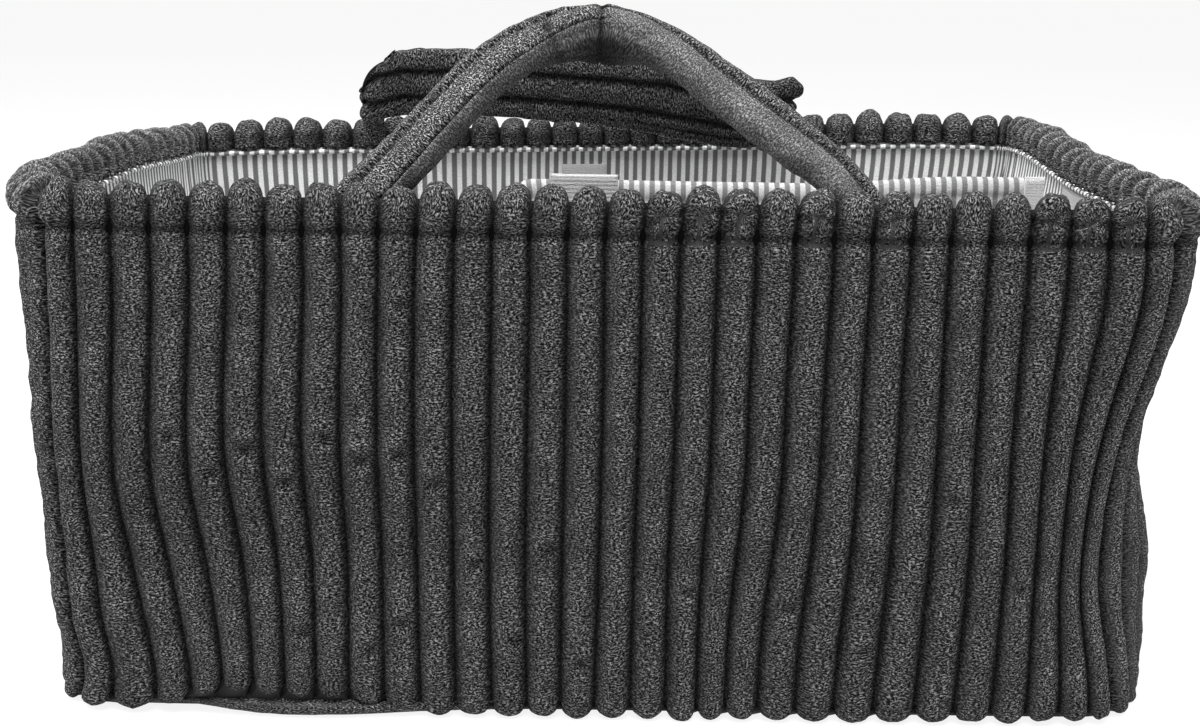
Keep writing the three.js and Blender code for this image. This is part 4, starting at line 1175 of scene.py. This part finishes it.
def front_relief(x, y, share):
    """The front strap: a narrow and a broad wale on its outer face, and a smooth inner edge."""
    outer = y < 0
    left = 1 - smooth_step(share, *LEFT_HALF_SHARES)
    groove = mark(x - GROOVE_SHIFT_SHARE * (1 - left), *GROOVE_SHARES) * outer
    second = mark(x, *SECOND_GROOVE_SHARES) * outer * (1 - left)
    seam = mark(x, *SEAM_GROOVE_SHARES) * outer * left
    under = (mark(-x, *UNDER_GROOVE_SHARES) + mark(x, *UNDER_GROOVE_SHARES)) * ~outer
    crease = mark(share, *CREASE_SHARES) * (x > CREASE_SIDE_SHARE)
    wale_end = mark(share, *WALE_END_SHARES) * near(x, *WALE_END_SIDE_SHARES) * outer
    sunk = np.clip(groove + second + seam + under + crease + wale_end, 0, MOST_SUNK_SHARE)
    sunk = sunk - mark(share, *SAG_SHARES) * ~outer
    ridge = near(x, *RIDGE_SHARES) * outer * left * (1 - smooth_step(share, *RIDGE_END_SHARES))
    # Painted shade in the crease, at the wale's end and under the apex; the outer face painted lighter
    # than the under face; painted sheen on the smooth edges
    dim = 1 - mark(share, *CREASE_SHADE_SHARES) - mark(share, *WALE_END_SHADE_SHARES) * (x > 0)
    apex_shade = mark(share, *APEX_SHADE_SHARES) * smooth_step(y, *APEX_SIDE_SHARES)
    dim = np.maximum(dim - apex_shade, DARKEST_SHARE)
    left_edge = left * np.where(outer, smooth_step(x, *LEFT_EDGE_SHARES), x > 0)
    right_edge = (1 - left) * np.where(outer, smooth_step(x, *RIGHT_EDGE_SHARES), x > 0)
    smooth = left_edge + right_edge
    light = LEFT_EDGE_SHEEN_SHARE * left + RIGHT_EDGE_SHEEN_SHARE * (1 - left)
    shade = dim * (np.where(outer, OUTER_SHADE_SHARE, UNDER_SHADE_SHARE) + light * smooth)
    return sunk, shade, ridge, EDGE_SLEEK_SHARE * smooth, np.zeros_like(sunk)


def front_handle():
    """The front strap, a rounded tent that leans in and turns its face up on the way to the top."""
    hinge = joint_place("front_handle_swing")
    lean = math.radians(FRONT_LEAN)
    up = np.array([0, math.sin(lean), math.cos(lean)])
    forward = np.array([0, -math.cos(lean), math.sin(lean)])
    ways = unit(np.gradient(np.array(FRONT_STATIONS)[:, :2], axis=0))
    controls = []
    for (x, rise, turn), (way_x, way_up) in zip(FRONT_STATIONS, ways):
        above = RIM_TOP + rise - hinge[2]
        at = hinge + (up * above / up[2] if above > 0 else np.array([0, 0, above]))
        at[0] = x
        inner = np.array([way_up, 0, 0]) - up * way_x
        across = inner * math.cos(math.radians(turn)) + forward * math.sin(math.radians(turn))
        controls.append([*at, *across, FRONT_STRAP_WIDTH, FRONT_STRAP_THICKNESS])
    strap("front", controls, FRONT_STEPS, front_relief)


# The back strap's level run: across, height over the hinge, and width
BACK_RUN = [
    (-0.1025, 0.0072, 0.026),
    (-0.0900, 0.0102, 0.031),
    (-0.0500, 0.0105, 0.032),
    (-0.0200, 0.0090, 0.032),
    (0.0180, 0.0060, 0.034),
    (0.0450, 0.0020, 0.036),
    (0.0680, -0.0012, 0.033),
    (0.0815, 0.0010, 0.026),
]
# The back strap's grooves, its painted highlight on the lower edge, its painted shade and its fingers,
# with marks as in the front strap
BACK_GROOVES_SHARES, BACK_GROOVE_SHARE = (-0.42, 0.36), 0.10
FAN_SHARES, FAN_GROOVE_SHARES, FAN_SHADE_SHARE = (0.45, 0.75), (0.6, 0.70, 0.06), 0.25
BACK_SUNK_SHARE, BACK_MOST_SUNK_SHARE, BACK_SHADE_SHARE = 0.55, 0.7, 0.75
BACK_HIGHLIGHT_SHARES = ((0.40, 0.47), (0.70, 0.78))
BACK_RIDGE_SHARES = (1.3, 0.96, 0.03)
BACK_FOLD_SHARES, BACK_FOLD_REACH_SHARE = (0.161, 0.839), 0.030
FINGER_LENGTH = 0.0042


def back_relief(x, y, share):
    """The back strap: three deep wales that end as rounded fingers, a lower edge with a painted
    highlight, and painted shade that deepens towards its right end.
    """
    fan = smooth_step(share, *FAN_SHARES)
    grooves = sum(mark(x, 1, place, BACK_GROOVE_SHARE) for place in BACK_GROOVES_SHARES)
    sunk = BACK_SUNK_SHARE * (grooves + fan * mark(x, *FAN_GROOVE_SHARES))
    sunk = np.clip(sunk, 0, BACK_MOST_SUNK_SHARE)
    # A painted highlight along the raised lower edge; painted shade over the whole strap, deeper
    # towards its right end
    start, end = BACK_HIGHLIGHT_SHARES
    light = smooth_step(share, *start) * (1 - smooth_step(share, *end))
    ridge = mark(x, *BACK_RIDGE_SHARES) * (y < 0) * light
    shade = BACK_SHADE_SHARE - FAN_SHADE_SHARE * fan
    edges = (-1, *BACK_GROOVES_SHARES, 1)
    finger = sum(np.sin(np.clip((x - low) / (high - low), 0, 1) * math.pi)
                 for low, high in zip(edges, edges[1:]))
    left, right = (near(share, place, BACK_FOLD_REACH_SHARE) for place in BACK_FOLD_SHARES)
    push = FINGER_LENGTH * finger * (right - left)
    return sunk, shade, ridge, np.zeros_like(sunk), push


def back_handle():
    """The back strap, slumped: short legs lean in and roll into a level run that faces the front."""
    hinge = joint_place("back_handle_swing")
    lean = math.radians(BACK_RUN_LEAN)
    down = np.array([0, math.sin(lean), -math.cos(lean)])
    inwards = np.array([0, 1, 0])
    run_y = hinge[1] - BACK_FORWARD

    def leg(root):
        rows = [
            (hinge[1], FACING_BOTTOM, inwards, BACK_LEG_WIDTH),
            (hinge[1], hinge[2], inwards, BACK_LEG_WIDTH),
            ((run_y + hinge[1]) / 2, hinge[2] + BACK_KNEE_RISE, unit(inwards + down), BACK_KNEE_WIDTH),
        ]
        return [[root, y, z, *across, width, BACK_STRAP_THICKNESS] for y, z, across, width in rows]

    run = [[x, run_y, hinge[2] + rise, *down, width, BACK_STRAP_THICKNESS]
           for x, rise, width in BACK_RUN]
    for end in (run[0], run[-1]):
        end[3:6] = unit(down - np.array([BACK_FOLD_SLANT, 0, 0]))
    controls = leg(BACK_LEFT_ROOT) + run + leg(BACK_RIGHT_ROOT)[::-1]
    strap("back", controls, BACK_STEPS, back_relief)


# Camera, lights and floor

def camera():
    """The photograph's camera."""
    data = bpy.data.cameras.new("camera")
    data.sensor_width = SENSOR_WIDTH
    data.lens = PHOTO_FOCAL / PHOTO_WIDTH * SENSOR_WIDTH
    data.clip_start, data.clip_end = CLIP_START, CLIP_END
    holder = bpy.data.objects.new("camera", data)
    holder.location = CAMERA_PLACE
    holder.rotation_mode = "XYZ"
    tilt = Euler((math.radians(90 - CAMERA_PITCH), 0, 0)).to_matrix()
    roll = Matrix.Rotation(math.radians(CAMERA_ROLL), 3, "Z")
    holder.rotation_euler = (tilt @ roll).to_euler()
    bpy.context.scene.collection.objects.link(holder)
    bpy.context.scene.camera = holder


def lamps():
    """Soft rectangles of light that face the basket."""
    for name, place, size, power in LAMPS:
        data = bpy.data.lights.new(name, "AREA")
        data.shape = "RECTANGLE"
        data.size, data.size_y = size
        data.energy = power
        lamp = bpy.data.objects.new(name, data)
        lamp.location = place
        way = Vector(LAMP_TARGET) - Vector(place)
        lamp.rotation_euler = way.to_track_quat("-Z", "Y").to_euler()
        bpy.context.scene.collection.objects.link(lamp)


def surroundings():
    """White all round, brightest low over the floor."""
    world = bpy.data.worlds.new("studio")
    world.use_nodes = True
    tree = world.node_tree
    way = tree.nodes.new("ShaderNodeTexCoord")
    split = tree.nodes.new("ShaderNodeSeparateXYZ")
    ramp = tree.nodes.new("ShaderNodeMapRange")
    values = (*HORIZON_FADE_SHARES, HORIZON_STRENGTH, WORLD_STRENGTH)
    for key, value in zip(RANGE_INPUTS, values):
        ramp.inputs[key].default_value = value
    tree.links.new(way.outputs["Generated"], split.inputs["Vector"])
    tree.links.new(split.outputs["Z"], ramp.inputs["Value"])
    tree.links.new(ramp.outputs["Result"], tree.nodes["Background"].inputs["Strength"])
    tree.nodes["Background"].inputs["Color"].default_value = WHITE
    bpy.context.scene.world = world
    bpy.context.scene.view_settings.view_transform = "Standard"


def floor():
    """The white floor, which gives off most of its own light."""
    mesh = bpy.data.meshes.new("floor")
    corners = [(x * FLOOR_REACH, y * FLOOR_REACH, 0) for x, y in ((-1, -1), (1, -1), (1, 1), (-1, 1))]
    mesh.from_pydata(corners, [], [(0, 1, 2, 3)])
    nodes = Nodes("floor", CLOTH_ROUGHNESS)
    nodes.shader.inputs["Base Color"].default_value = FLOOR_COLOUR
    nodes.shader.inputs["Emission Color"].default_value = WHITE
    nodes.shader.inputs["Emission Strength"].default_value = FLOOR_GLOW
    mesh.materials.append(nodes.material)
    sheet = bpy.data.objects.new("floor", mesh)
    sheet.visible_diffuse = False
    bpy.context.scene.collection.objects.link(sheet)


camera()
lamps()
surroundings()
floor()
for each_wall in WALLS.values():
    board(each_wall)
    plush_wall(each_wall)
    wall_lining(each_wall)
base_board()
base_plush()
floor_lining()
piping()
tape("back_tape", "back_loop_tape", BASKET, LOOP_TAPE, 0, rise=-BACK_TAPE_DROP)
tape("right_tape", "right_loop_tape", BASKET, LOOP_TAPE, 1)
divider()
tape("divider_face_ribbed_tape", "divider_face_tape", DIVIDER, RIBBED_TAPE, 0, rise=FACE_TAPE_RISE)
held_flap()
tape("divider_left_tape", "divider_left_hook_tape", DIVIDER, LOOP_TAPE, 1)
front_handle()
back_handle()
